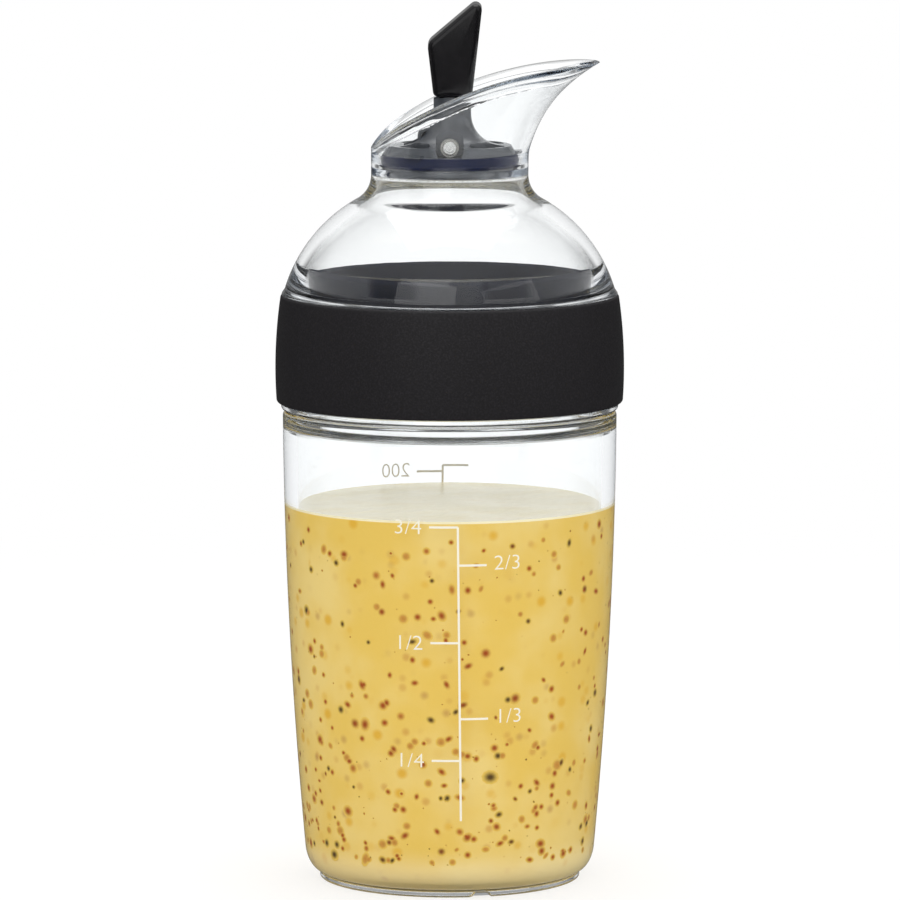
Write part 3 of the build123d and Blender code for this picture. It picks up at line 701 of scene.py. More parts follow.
class SHAKER_OT_stage(bpy.types.Operator):
    """Sets the camera, the pale floor, the soft lamps and the white surroundings"""

    bl_idname = "shaker.stage"
    bl_label = "Stage"

    # Names of the lamps, their places and sides in metres, and their powers in watts
    lamps = (
        ("key_lamp", (-0.5, -1.45, 0.8), 1.2, 5.0),
        ("fill_lamp", (1.1, -1.0, 0.65), 1.1, 2.6),
        ("top_lamp", (0.0, 0.25, 1.35), 1.1, 6.2),
    )

    def execute(self, context):
        scene, stage = context.scene, context.scene.shaker_stage
        camera = bpy.data.cameras.new("camera")
        camera.lens, camera.shift_x, camera.sensor_width = stage.lens, stage.shift, 36.0
        scene.camera = new_object("camera", camera)
        scene.camera.location = (0, -stage.camera_distance, stage.camera_height)
        scene.camera.rotation_euler = (math.pi / 2 - stage.camera_dip, 0, 0)
        self.make_floor(stage, scene.shaker_colours.floor)
        self.make_surroundings(scene, stage)
        middle = Vector((0, 0, cad_high.z / 2))
        for name, place, side, power in self.lamps:
            lamp = bpy.data.lights.new(name, "AREA")
            lamp.shape, lamp.size, lamp.energy = "SQUARE", side, power
            holder = new_object(name, lamp)
            holder.location = place
            holder.rotation_euler = (middle - Vector(place)).to_track_quat("-Z", "Y").to_euler()
            holder.visible_camera = False
        scene.view_settings.view_transform = "Standard"
        # Light that runs along inside the clear walls leaves them only after many reflections
        scene.cycles.max_bounces = stage.bounces
        scene.cycles.transmission_bounces = stage.bounces
        scene.cycles.glossy_bounces = stage.bounces
        return {"FINISHED"}

    def make_floor(self, stage, tone):
        """A level floor. Seen directly, in gloss or through clear plastic it is part plain white, so that it
        shows white and still takes the shaker's shadow, and away from the shaker it is all white. Through
        clear plastic its white is dimmer near the shaker, a painted shadow under it."""
        side, front, back = stage.floor_side, -stage.floor_front, stage.floor_back
        mesh = bpy.data.meshes.new("floor")
        mesh.from_pydata([(-side, front, 0), (side, front, 0), (side, back, 0), (-side, back, 0)], [],
                         [(0, 1, 2, 3)])
        new_object("floor", mesh)
        material, tree, place = new_finish("pale_floor")
        cloudy = patches(tree, place, stage.floor_cloud, 0.3, 0.7, 0.0, 0.02)
        shade = add(tree, "Mix", {0: cloudy, 6: tone, 7: (1, 1, 1, 1)}, **COLOURS)[2]
        paper = add(tree, "BsdfDiffuse", {"Color": shade})[0]
        path = add(tree, "LightPath")
        away = add(tree, "VectorMath", (place,), operation="LENGTH")["Value"]
        near, far = stage.floor_near, stage.floor_far
        # Painted shadow: seen through clear plastic, the floor's white is dimmer near the shaker
        dim = stage.floor_dim * stage.back_light
        through = add(tree, "MapRange", (away, near, far, dim, stage.back_light), **SMOOTH)[0]
        level = add(tree, "Mix", {0: path["Is Glossy Ray"], 2: 1.0, 3: stage.gloss_level})[0]
        level = add(tree, "Mix", {0: path["Is Transmission Ray"], 2: level, 3: through})[0]
        white = add(tree, "Emission", {"Strength": level})[0]
        # The share of white is nought for rays that light the object
        glow = add(tree, "MapRange", (away, near, far, stage.floor_glow, 1.0), **SMOOTH)[0]
        glow = add(tree, "Math", (glow, path["Is Glossy Ray"]), operation="MAXIMUM")[0]
        seen = add(tree, "Math", (path["Is Camera Ray"], path["Is Glossy Ray"]), operation="MAXIMUM")[0]
        seen = add(tree, "Math", (seen, path["Is Transmission Ray"]), operation="MAXIMUM")[0]
        share = add(tree, "Math", (seen, glow), operation="MULTIPLY")[0]
        add(tree, "OutputMaterial", {"Surface": add(tree, "MixShader", (share, paper, white))[0]})
        mesh.materials.append(material)

    def make_surroundings(self, scene, stage):
        """White where the camera looks. Clear plastic shows white too, but for a dim ceiling and dim corners
        of the room, which draw its edges grey. Gloss shows a dim room with a brighter ceiling, and soft
        light comes from all sides, most of it from above."""
        scene.world = scene.world or bpy.data.worlds.new("surroundings")
        scene.world.use_nodes = True
        scene.world.cycles.sampling_method = "NONE"
        tree = scene.world.node_tree
        tree.nodes.clear()
        axes = add(tree, "SeparateXYZ", (add(tree, "TexCoord")["Generated"],))
        corner = add(tree, "Math", (axes["X"], axes["Y"]), operation="MULTIPLY")[0]
        corner = add(tree, "Math", (corner,), operation="ABSOLUTE")[0]
        sides = add(tree, "MapRange", (corner, 0.34, 0.46, 1.0, stage.corner), **SMOOTH)[0]
        above = add(tree, "MapRange", (axes["Z"], 0.35, 0.7, 1.0, stage.ceiling_seen), **SMOOTH)[0]
        through = add(tree, "Math", (sides, above), operation="MULTIPLY")[0]
        through = add(tree, "Math", (through, stage.back_light), operation="MULTIPLY")[0]
        dark = stage.room * stage.room_corner
        walls = add(tree, "MapRange", (corner, 0.1, 0.4, stage.room, dark), **SMOOTH)[0]
        ceiling = add(tree, "MapRange", (axes["Z"], 0.3, 0.9, 0.0, stage.ceiling), **SMOOTH)[0]
        glossy = add(tree, "Math", (walls, ceiling), operation="ADD")[0]
        level = add(tree, "MapRange", (axes["Z"], -0.2, 0.8, stage.horizon, stage.sky), **SMOOTH)[0]
        path = add(tree, "LightPath")
        shown = {"Is Glossy Ray": glossy, "Is Transmission Ray": through, "Is Camera Ray": 1.0}
        for ray, strength in shown.items():
            level = add(tree, "Mix", {0: path[ray], 2: level, 3: strength})[0]
        white = add(tree, "Background", {"Color": (1, 1, 1, 1), "Strength": level})[0]
        add(tree, "OutputWorld", {"Surface": white})


class SHAKER_OT_container(bpy.types.Operator):
    """Makes the clear container with its bowed side, foot ring, shoulder, neck and quick thread"""

    bl_idname = "shaker.container"
    bl_label = "Container"

    columns = 288

    def execute(self, context):
        body = context.scene.shaker_container
        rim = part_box("container")[1].z
        ceiling = body.shoulder_height - body.shoulder_wall
        foot_inner = body.foot_radius - body.foot_width
        side_top = body.shoulder_height - body.shoulder_round * PAST_ROUND
        inside_low = body.floor_height + body.inner_round * PAST_ROUND
        inside_high = ceiling - body.ceiling_round * PAST_ROUND
        small = body.small_round
        outside = (
            [(HUB, body.foot_height), (foot_inner, body.foot_height, small), (foot_inner, 0, small),
             (body.foot_radius, 0, small)]
            + self.bottom_corner(body)
            + body_side(body.corner_top, side_top)[1:]
            + [(body.top_radius, body.shoulder_height, body.shoulder_round),
               (body.neck_radius, body.shoulder_height, body.rim_round)]
            + threaded_side(body.neck_radius)
            + [(body.neck_radius, rim, body.rim_round), (body.mouth_radius, rim, body.rim_round)])
        inside = (
            [(body.mouth_radius, ceiling, body.rim_round),
             (body_radius(ceiling, body.wall), ceiling, body.ceiling_round)]
            + body_side(inside_low, inside_high, body.wall)[::-1]
            + [(body_radius(body.floor_height, body.wall), body.floor_height, body.inner_round),
               (HUB, body.floor_height)])
        outline = rounded(outside + inside, closed=False)
        on_neck = np.abs(outline[:, 0] - body.neck_radius) < NEAR
        ridges = thread_ridges(outline, self.columns, on_neck)
        points = ring_points(outline, self.columns, radial=ridges, lift=self.notches(body, outline))
        piece = grid_piece("container_clear", points, closed=False)
        clear = clear_copolyester("clear_container", context.scene.shaker_colours)
        dress(piece, clear, "bottle", ["container"])
        return {"FINISHED"}

    def bottom_corner(self, body):
        """Places round the bottom corner: a conic from the foot ring's side up to the body's side."""
        start = np.array([body.foot_radius, body.foot_side])
        end = np.array([body_radius(body.corner_top), body.corner_top])
        corner = np.array([body.base_radius, body.foot_side + body.small_round])
        share = np.linspace(0, 1, 14)[:, None]
        return [tuple(place) for place in conic(start, corner, end, body.base_fullness, share)]

    def notches(self, body, outline):
        """How far the drain notches lift the foot ring: its depth within half a notch's width of each."""
        turn = np.arange(self.columns) * FULL_TURN / self.columns - body.notch_turn
        step = FULL_TURN / body.notch_count
        across = np.abs((turn + step / 2) % step - step / 2) * body.foot_radius
        open_share = np.clip((body.notch_width / 2 - across) / body.small_round + 1, 0, 1)
        return body.notch_depth * open_share * (outline[:, 1:] < body.small_round)


class SHAKER_OT_dressing(bpy.types.Operator):
    """Makes the dressing with its rippled top, and the seeds and herb flecks against the wall"""

    bl_idname = "shaker.dressing"
    bl_label = "Dressing"

    columns = 256

    def execute(self, context):
        body, sizes = context.scene.shaker_container, context.scene.shaker_dressing
        colours = context.scene.shaker_colours
        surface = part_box("dressing")[1].z
        inset = body.wall - sizes.contact
        floor = body.floor_height - sizes.contact
        edge = body_radius(surface, inset)
        bottom = [(HUB, floor), (body_radius(floor, inset), floor, body.inner_round)]
        side = body_side(floor + body.inner_round * PAST_ROUND, surface + sizes.meniscus, inset, 40)
        top = [(edge * share, surface) for share in np.linspace(1, 0, 60)[1:-1]]
        outline = rounded(bottom + side + top, closed=False)
        points = ring_points(outline, self.columns, lift=self.ripples(sizes, outline, edge, surface))
        piece = grid_piece("dressing_body", points, closed=False, crease=60)
        dress(piece, mustard_dressing(colours, surface), "bottle", ["dressing"])
        for name, count, size, variety, tones, random_start in (
            ("mustard_seeds", sizes.seed_count, sizes.seed_size, 0.24, (0.0, 1.0), 11),
            ("herb_flecks", sizes.fleck_count, sizes.fleck_size, 0.4, (0.5, 1.0), 12),
        ):
            bits = self.bits(body, sizes, name, count, size, variety, tones, random_start)
            dress(bits, seed_hulls(colours), "bottle")
        return {"FINISHED"}

    def ripples(self, sizes, outline, edge, surface):
        """Height of the top above level: a climb that dies away from the wall, and a sum of bent waves that
        are still at the wall."""
        angle = np.arange(self.columns) * FULL_TURN / self.columns
        radius, height = outline[:, :1], outline[:, 1:]
        x, y = radius * np.cos(angle) / edge, radius * np.sin(angle) / edge
        waves = (np.sin(5 * x + 3 * np.sin(4 * y + 1)) + 0.6 * np.sin(9 * y + 4 * np.sin(3 * x))
                 + 0.4 * np.sin(17 * x - 11 * y + 2 * np.sin(7 * y)))
        on_top = (height >= surface - NEAR) & (radius < edge - NEAR)
        climb = sizes.meniscus * np.exp(-(edge - radius) / sizes.meniscus_reach)
        still = np.clip((edge - radius) / (2 * sizes.meniscus_reach), 0, 1)
        return on_top * (climb + sizes.ripple * waves * still)

    def bits(self, body, sizes, name, count, middle_size, variety, tones, random_start):
        """Flattened lumps seated on the dressing's side, a little more of them low down. Each is a unit
        ball, stretched along the wall, up it and out of it by its own sizes and turned in the plane of the
        wall."""
        crowding, most_size, most_stretch, thickest = 1.35, 1.9, 0.3, 0.6
        ball, quads, fans = self.unit_ball()
        random = np.random.default_rng(random_start)
        low, high = body.floor_height + body.inner_round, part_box("dressing")[1].z - sizes.seed_margin
        height = low + (high - low) * random.random(count) ** crowding
        angle = random.random(count) * FULL_TURN
        size = middle_size * np.exp(variety * random.standard_normal(count))
        size = np.minimum(size, middle_size * most_size)
        stretch = 1 + most_stretch * random.random(count) ** 3
        spin = random.random(count) * FULL_TURN
        across = ball[None, :, 0] * (size * stretch)[:, None]
        along = ball[None, :, 1] * (size / stretch)[:, None]
        out = ball[None, :, 2] * np.minimum(sizes.seed_thickness, size * thickest)[:, None]
        sideways = across * np.cos(spin)[:, None] - along * np.sin(spin)[:, None]
        upward = across * np.sin(spin)[:, None] + along * np.cos(spin)[:, None]
        place_height = height[:, None] + upward
        radius = body_radius(place_height, body.wall - sizes.contact) + out - sizes.contact
        place_angle = angle[:, None] + sideways / radius
        points = np.stack([radius * np.cos(place_angle), radius * np.sin(place_angle), place_height], -1)
        shift = np.arange(count)[:, None, None] * len(ball)
        piece = new_piece(name, points.reshape(-1, 3), (quads[None] + shift).reshape(-1, 4),
                          (fans[None] + shift).reshape(-1, 3), crease=180)
        rim = np.tile(np.hypot(ball[:, 0], ball[:, 1]), count)
        tone = np.repeat(tones[0] + (tones[1] - tones[0]) * random.random(count), len(ball))
        for title, values in (("rim", rim), ("tone", tone)):
            attribute = piece.data.attributes.new(title, "FLOAT", "POINT")
            attribute.data.foreach_set("value", values.astype(np.float32))
        return piece

    def unit_ball(self):
        """A ball of radius one, as rings of points between two poles: x = cos p cos t, y = cos p sin t and
        z = sin p, with its four-sided faces and the fans at its poles."""
        rings, columns = 7, 10
        pitch = np.linspace(-math.pi / 2, math.pi / 2, rings + 2)[1:-1][:, None]
        turn = np.arange(columns) * FULL_TURN / columns
        ball = np.stack([np.cos(pitch) * np.cos(turn), np.cos(pitch) * np.sin(turn),
                         np.sin(pitch) + 0 * turn], -1).reshape(-1, 3)
        column = np.arange(columns)
        column_on = (column + 1) % columns
        last, south, north = (rings - 1) * columns, rings * columns, rings * columns + 1
        fans = [np.stack([column_on, column, np.full(columns, south)], -1),
                np.stack([last + column, last + column_on, np.full(columns, north)], -1)]
        ball = np.concatenate([ball, [[0, 0, -1], [0, 0, 1]]])
        return ball, grid_faces(rings, columns, False), np.concatenate(fans)


class SHAKER_OT_marks(bpy.types.Operator):
    """Prints the measuring lines, ticks and plain numbers on the front and the back of the container"""

    bl_idname = "shaker.marks"
    bl_label = "Measuring marks"

    # Numbers, their heights in millimetres, and the side of the line that each stands on
    front = (("3/4", 73.2, -1), ("2/3", 65.8, 1), ("1/2", 50.7, -1), ("1/3", 35.8, 1), ("1/4", 27.6, -1))
    back = (("200", 76.1, 1), ("150", 60.1, 1), ("100", 43.5, 1), ("50", 25.9, 1))
    back_top = 77.3

    def execute(self, context):
        sizes = context.scene.shaker_marks
        ink = screen_ink(context.scene.shaker_colours)
        for name, marks, facing, top in (
            ("marks_front", self.front, -math.pi / 2, self.front[0][1]),
            ("marks_back", self.back, math.pi / 2, self.back_top),
        ):
            foot = (self.line_place(sizes, sizes.line_low), sizes.line_low)
            head = (self.line_place(sizes, top * MM), top * MM)
            flat = [self.strip([foot, head], sizes.line_width, True)]
            if top != marks[0][1]:
                flat.append(self.strip([head, (head[0] - sizes.tick, head[1])], sizes.line_width))
            for text, height, side in marks:
                height *= MM
                start = self.line_place(sizes, height)
                end = start + side * sizes.tick
                flat.append(self.strip([(start, height), (end, height)], sizes.line_width))
                middle = height + (sizes.right_rise if side > 0 else 0)
                flat.append(self.digits(text, end + side * sizes.digit_gap, middle, side, sizes))
            points, quads, triangles = self.join(flat)
            piece = new_piece(name, self.wrap(points, facing, sizes.ink), quads, triangles)
            dress(piece, ink, "bottle")
        return {"FINISHED"}

    def line_place(self, sizes, height):
        """Where the upright line is across the front: it leans evenly from its foot to the highest mark."""
        share = (height - sizes.line_low) / (self.front[0][1] * MM - sizes.line_low)
        return sizes.line_bottom + (sizes.line_top - sizes.line_bottom) * share

    def strip(self, ends, width, upright=False):
        """A thin flat bar between two places: a box cut into steps, so that it can follow the wall."""
        (x0, z0), (x1, z1) = ends
        steps = 32
        share = np.linspace(0, 1, steps)
        x, z = x0 + (x1 - x0) * share, z0 + (z1 - z0) * share
        dx, dz = (width / 2, 0) if upright else (0, width / 2)
        near, out = 0 * x, 0 * x + 1
        corners = [(x - dx, z - dz, near), (x + dx, z + dz, near),
                   (x + dx, z + dz, out), (x - dx, z - dz, out)]
        points = np.stack([np.stack(c, -1) for c in corners], 1)
        caps = np.array([[3, 2, 1, 0], [0, 1, 2, 3]]) + [[0], [(steps - 1) * 4]]
        quads = np.concatenate([grid_faces(steps, 4, False), caps])
        return points.reshape(-1, 3), quads, np.zeros((0, 3), int)

    def digits(self, text, x, z, side, sizes):
        """A plain number as a flat mesh of places across, up and out: its near edge at x and its middle at
        z."""
        curve = bpy.data.curves.new("number", "FONT")
        curve.body, curve.align_x, curve.align_y = text, "LEFT" if side > 0 else "RIGHT", "CENTER"
        curve.size, curve.extrude, curve.resolution_u = 1.0, 0.5, 4
        # The strokes are a little thinner than those of the plain face
        curve.offset = -0.012
        holder = new_object("number", curve)
        mesh = bpy.data.meshes.new_from_object(holder.evaluated_get(bpy.context.evaluated_depsgraph_get()))
        places = np.zeros(len(mesh.vertices) * 3)
        mesh.vertices.foreach_get("co", places)
        mesh.calc_loop_triangles()
        triangles = np.array([t.vertices[:] for t in mesh.loop_triangles])
        bpy.data.objects.remove(holder)
        across, up, out = places.reshape(-1, 3).T
        scale = sizes.digit_height / np.ptp(up)
        middle = (up.max() + up.min()) / 2
        flat = np.stack([x + across * scale * sizes.digit_width, z + (up - middle) * scale, out + 0.5], -1)
        return flat, np.zeros((0, 4), int), triangles

    def join(self, parts):
        """All flat parts as one set of points and faces."""
        starts = np.cumsum([0] + [len(p[0]) for p in parts])
        points = np.concatenate([p[0] for p in parts])
        quads, triangles = (np.concatenate([p[kind] + n for p, n in zip(parts, starts)]) for kind in (1, 2))
        return points, quads, triangles

    def wrap(self, flat, facing, ink):
        """Flat places laid on the bowed wall: the place across turns into an angle, x / r, the place up
        stays, and the third, from 0 to 1, becomes the depth of the ink, a little of it sunk in the wall."""
        across, up, out = flat.T
        sunk = 0.2
        radius = body_radius(up) + ink * (out * (1 + sunk) - sunk)
        angle = facing + across / radius
        return np.stack([radius * np.cos(angle), radius * np.sin(angle), up], -1)


class SHAKER_OT_seals(bpy.types.Operator):
    """Makes the blue-black gasket under the dome and the navy seal of the plug"""

    bl_idname = "shaker.seals"
    bl_label = "Gasket and seal"

    gasket_columns = 224
    seal_columns = 192
    # Shares of the seal's height: its foot below the lip, and the taper above it
    foot_share = 0.16
    taper_share = 0.6

    def execute(self, context):
        sizes, colours = context.scene.shaker_band, context.scene.shaker_colours
        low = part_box("lid_gasket")[0].z
        inner = context.scene.shaker_container.mouth_radius - sizes.gasket_reach
        outer = context.scene.shaker_lid.seat_radius - sizes.gasket_gap
        ring = rounded([(inner, low, sizes.gasket_round), (outer, low, sizes.gasket_round),
                        (outer, sizes.gasket_top, sizes.gasket_round / 2),
                        (inner, sizes.gasket_top, sizes.gasket_round)])
        gasket = grid_piece("gasket_ring", ring_points(ring, self.gasket_columns))
        silicone = moulded_silicone("gasket_silicone", colours.gasket, 0.0)
        dress(gasket, silicone, "gasket_ring", ["lid_gasket"])
        low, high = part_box("plug_seal")
        high.z += sizes.seal_rise
        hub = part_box("plunger")[1].y
        depth = high.z - low.z
        lip = rounded([(hub, low.z), (high.x - sizes.seal_round * 2, low.z, sizes.seal_round),
                       (high.x, low.z + depth * self.foot_share, sizes.seal_round),
                       (high.x, high.z - depth * self.taper_share, sizes.seal_round),
                       (high.x - sizes.seal_taper, high.z, sizes.seal_round), (hub, high.z)])
        seal = grid_piece("plug_lip", ring_points(lip, self.seal_columns))
        silicone = moulded_silicone("navy_silicone", colours.navy, 0.12)
        dress(seal, silicone, "valve", ["plug_seal"])
        return {"FINISHED"}


class SHAKER_OT_dome(bpy.types.Operator):
    """Makes the clear dome with its skirt, inner thread and the seat of the gasket"""

    bl_idname = "shaker.dome"
    bl_label = "Dome"

    columns = 288

    def wall(self, lid, band_top, inset, neck, flare, low, top):
        """A side of the dome from a height up to the joint: the dome's arc, then the flare, whose middle
        lies out from the neck by the flare's radius, on the dome's arc widened by that radius, then the
        neck."""
        radius = lid.arc_radius - inset
        centre = np.array([lid.arc_offset, band_top - lid.arc_drop])
        out = neck + flare - centre[0]
        rise = math.sqrt((radius + flare) ** 2 - out ** 2)
        turn = np.linspace(math.asin((low - centre[1]) / radius), math.atan2(rise, out), 44)
        arc = centre + radius * np.stack([np.cos(turn), np.sin(turn)], -1)
        middle = centre + (out, rise)
        turn = np.linspace(math.atan2(rise, out) + math.pi, math.pi, 20)[1:]
        bend = middle + flare * np.stack([np.cos(turn), np.sin(turn)], -1)
        return np.concatenate([arc, bend, [[neck, top]]])

    def execute(self, context):
        lid, spout = context.scene.shaker_lid, context.scene.shaker_spout
        low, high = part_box("dome_shell")
        band_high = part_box("grip_band")[1].z
        edge, joint = lid.edge_round, high.z - lid.joint_gap / 2
        outside = self.wall(lid, band_high, 0, spout.radius, lid.flare, band_high, joint - edge)
        inside = self.wall(lid, band_high, lid.wall, lid.throat_radius, lid.throat_flare, lid.seat_high,
                           joint - edge)
        lip_high = low.z + lid.lip_height
        bead_low, bead_high = band_high + lid.band_gap, band_high + lid.bead
        bead_radius, lean, soft = outside[0, 0] + lid.bead, lid.bead * 0.2, lid.bead * 0.4
        outline = rounded(
            [(lid.skirt_inner, low.z, edge), (lid.lip_radius, low.z, 2 * edge),
             (lid.lip_radius, lip_high, edge), (lid.skirt_radius, lip_high), (lid.skirt_radius, bead_low),
             (bead_radius, bead_low, soft), (bead_radius - lean, bead_high, edge)]
            + [tuple(place) for place in outside[2:]]
            + [(spout.radius, joint, lid.joint_round), (lid.throat_radius, joint, lid.joint_round)]
            + [tuple(place) for place in inside[::-1]]
            + [(lid.seat_radius, lid.seat_low, edge), (lid.skirt_inner, lid.seat_low, edge)]
            + threaded_side(lid.skirt_inner)[::-1])
        on_skirt = np.abs(outline[:, 0] - lid.skirt_inner) < NEAR
        # The skirt's ridges lie half way between those of the neck
        ridges = thread_ridges(outline, self.columns, on_skirt, phase=0.5)
        piece = grid_piece("dome_clear", ring_points(outline, self.columns, radial=-ridges))
        clear = clear_copolyester("clear_lid", context.scene.shaker_colours)
        dress(piece, clear, "lid", ["dome_shell"])
        return {"FINISHED"}


class SHAKER_OT_band(bpy.types.Operator):
    """Makes the soft black grip band, bowed and rounded at both edges and left bare"""

    bl_idname = "shaker.band"
    bl_label = "Grip band"

    columns = 256

    def execute(self, context):
        band, lid = context.scene.shaker_band, context.scene.shaker_lid
        low, high = (corner.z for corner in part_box("grip_band"))
        share = np.linspace(0, 1, 24)
        even = band.bottom_radius + (band.top_radius - band.bottom_radius) * share
        bow = band.middle_radius - (band.bottom_radius + band.top_radius) / 2
        side = np.stack([even + 4 * bow * share * (1 - share), low + (high - low) * share], -1)
        inner, edge = lid.skirt_radius + band.sleeve_gap, band.edge_round
        outline = rounded([(inner, low), (band.bottom_radius, low, edge)] + [tuple(p) for p in side[2:-2]]
                          + [(band.top_radius, high, edge), (inner, high)])
        piece = grid_piece("grip_band_soft", ring_points(outline, self.columns))
        dress(piece, soft_touch_elastomer(context.scene.shaker_colours), "lid", ["grip_band"])
        return {"FINISHED"}


class SHAKER_OT_spout(bpy.types.Operator):
    """Makes the clear spout with its long tip, slanted rim bevelled inside, ledge and bore"""

    bl_idname = "shaker.spout"
    bl_label = "Spout"

    columns = 240

    def plan(self, spout, turn, height, inset):
        """A point of the wall at a turn from 0 to 1 and a height. Behind it lies on half an ellipse. In front
        it lies on two conics, whose reach grows as c h + (1 - c) h^3 with the straight share c, and whose
        corners fill out with the height."""
        softness = 0.003
        straight = self.joint + spout.straight
        share = (height - straight) / (spout.tip_height - spout.straight)
        # The share starts from nought without a corner
        share = (share + np.sqrt(share ** 2 + softness)) / 2
        growth = spout.straight_share * share + (1 - spout.straight_share) * share ** 3
        slope = spout.straight_share + 3 * (1 - spout.straight_share) * share ** 2
        slope = slope * spout.tip_reach / (spout.tip_height - spout.straight)
        # The inset is level, so it grows with the slope to keep the wall's thickness, fully from a third up
        leaning = slope * np.minimum(share * 3, 1)
        reach = spout.radius + spout.tip_reach * growth - inset * np.sqrt(1 + leaning ** 2)
        side = spout.radius + spout.side_flare * share - inset
        quarter = turn * 4
        front = np.where(quarter < 1, quarter, 2 - quarter)
        front = np.clip(front, 0, 1)
        weight = math.sqrt(0.5) + spout.fullness * share
        x_front = conic(0 * reach, reach, reach, weight, front)
        y_front = conic(side, side, 0 * side, weight, front) * np.where(quarter < 1, -1, 1)
        angle = (quarter - 1) * math.pi / 2
        behind = quarter >= 2
        x = np.where(behind, np.cos(angle) * (spout.radius - inset), x_front)
        y = np.where(behind, np.sin(angle) * side, y_front)
        return x, y

    def rim(self, spout, x):
        """Height of the slanted rim over a place along the spout: a circle through three places, and behind
        the bend a second one that leaves it without a corner and ends at the rear."""
        tip = np.array([spout.radius + spout.tip_reach + spout.past_tip, self.joint + spout.tip_height])
        middle = np.array([spout.middle_offset, self.joint + spout.middle_height])
        bend = np.array([-spout.bend_offset, self.joint + spout.bend_height])
        rear = np.array([-spout.radius, self.joint + spout.rear_height])
        sides = np.stack([middle - tip, bend - tip])
        centre = np.linalg.solve(2 * sides, (sides * (sides + 2 * tip)).sum(1))
        radius = np.linalg.norm(tip - centre)
        inward = (centre - bend) / radius
        small = ((rear - bend) @ (rear - bend)) / (2 * inward @ (rear - bend))
        rear_centre = bend + inward * small
        front = centre[1] + np.sqrt(np.maximum(radius ** 2 - (x - centre[0]) ** 2, 0))
        back = rear_centre[1] + np.sqrt(np.maximum(small ** 2 - (x - rear_centre[0]) ** 2, 0))
        return np.where(x < -spout.bend_offset, back, front)

    def rim_points(self, spout, turn, inset, drop):
        """The wall's upper end: the height at which the wall, which leans out as it rises, meets the rim,
        found by halving the range that holds it."""
        margin, halvings = 1 * MM, 40
        low = np.full(turn.shape, self.joint + spout.straight - margin)
        high = np.full(turn.shape, self.joint + spout.tip_height + margin)
        for _ in range(halvings):
            height = (low + high) / 2
            over = height > self.rim(spout, self.plan(spout, turn, height, inset)[0]) - drop
            low, high = np.where(over, low, height), np.where(over, height, high)
        return (low + high) / 2

    def execute(self, context):
        spout, lid = context.scene.shaker_spout, context.scene.shaker_lid
        self.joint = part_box("pour_spout")[0].z
        turn = np.arange(self.columns) / self.columns
        # The wall is even over a share of each side, then thins towards the tip, which is a quarter turn on
        even, rows, crowding = 0.6, 72, 1.5
        ahead = np.clip((1 - np.abs(1 - turn * 4) - even) / (1 - even), 0, 1)
        thin = 1 - spout.thinning * ahead * ahead * (3 - 2 * ahead)
        drop = spout.wall * spout.lip_share * thin
        start = self.joint + lid.joint_gap / 2
        ledge = self.joint + spout.ledge_height
        # Rows crowd together towards the rim
        share = 1 - np.linspace(1, 0, rows)[:, None] ** crowding
        walls = []
        for inset, foot, bevel, bead in (
            (0, start + lid.edge_round, 0, 0),
            (spout.wall, ledge, spout.bevel, spout.bead),
        ):
            rim = self.rim_points(spout, turn, inset * thin, drop + bevel * thin)
            height = foot + (rim - foot) * share
            rolled = np.sqrt(np.maximum(1 - ((rim - height) / spout.bead_height - 1) ** 2, 0))
            inset = inset * (1 + (thin - 1) * share ** 2) + bead * rolled * thin
            walls.append(np.stack([*self.plan(spout, turn, height, inset), height], -1))
        outer, inner = walls
        lip = self.lip(outer[-1], inner[-1], spout.lip_share)
        angle = np.arctan2(outer[0, :, 1], outer[0, :, 0])
        inside = spout.radius - spout.wall
        # The first and last places only give the directions in which the corners beside them end
        rings = rounded([(inside, ledge + spout.ledge_slope), (inside, ledge, spout.ledge_round),
                         (spout.bore_radius, ledge - spout.ledge_slope, spout.ledge_round),
                         (spout.bore_radius, self.joint + spout.bore_end, spout.bore_round),
                         (lid.throat_radius, start, lid.joint_round), (spout.radius, start, lid.joint_round),
                         (spout.radius, start + 2 * lid.edge_round)], closed=False)[1:-1]
        below = np.stack([rings[:, :1] * np.cos(angle), rings[:, :1] * np.sin(angle),
                          rings[:, 1:] + 0 * angle], -1)
        points = np.concatenate([outer[1:], lip, inner[::-1][:-1], below])
        piece = grid_piece("spout_clear", points)
        clear = clear_copolyester("clear_spout", context.scene.shaker_colours)
        dress(piece, clear, "lid", ["pour_spout"])
        return {"FINISHED"}

    def lip(self, outer, inner, height_share):
        """The rounded rim: half an ellipse from the outer wall's end over to the inner one's, whose rise
        points straight up the wall."""
        middle, half = (outer + inner) / 2, (outer - inner) / 2
        turn = np.linspace(0, math.pi, 10)[1:-1][:, None, None]
        along = np.roll(outer, -1, 0) - np.roll(outer, 1, 0)
        up = np.cross(half, along)
        up /= np.linalg.norm(up, axis=-1, keepdims=True)
        up *= np.sign(up[:, 2:])
        rise = 2 * np.linalg.norm(half, axis=-1, keepdims=True) * height_share
        return middle + half * np.cos(turn) + up * rise * np.sin(turn)


class SHAKER_OT_valve(bpy.types.Operator):
    """Finishes the valve's housing, plunger and retainer in dark satin plastic"""

    bl_idname = "shaker.valve"
    bl_label = "Valve"

    def execute(self, context):
        satin = moulded_plastic("satin_copolymer", context.scene.shaker_colours.housing, 0.17, 0.27, 0.5)
        for node in ("valve_housing", "plunger", "seal_retainer"):
            refinish(node, satin)
        return {"FINISHED"}


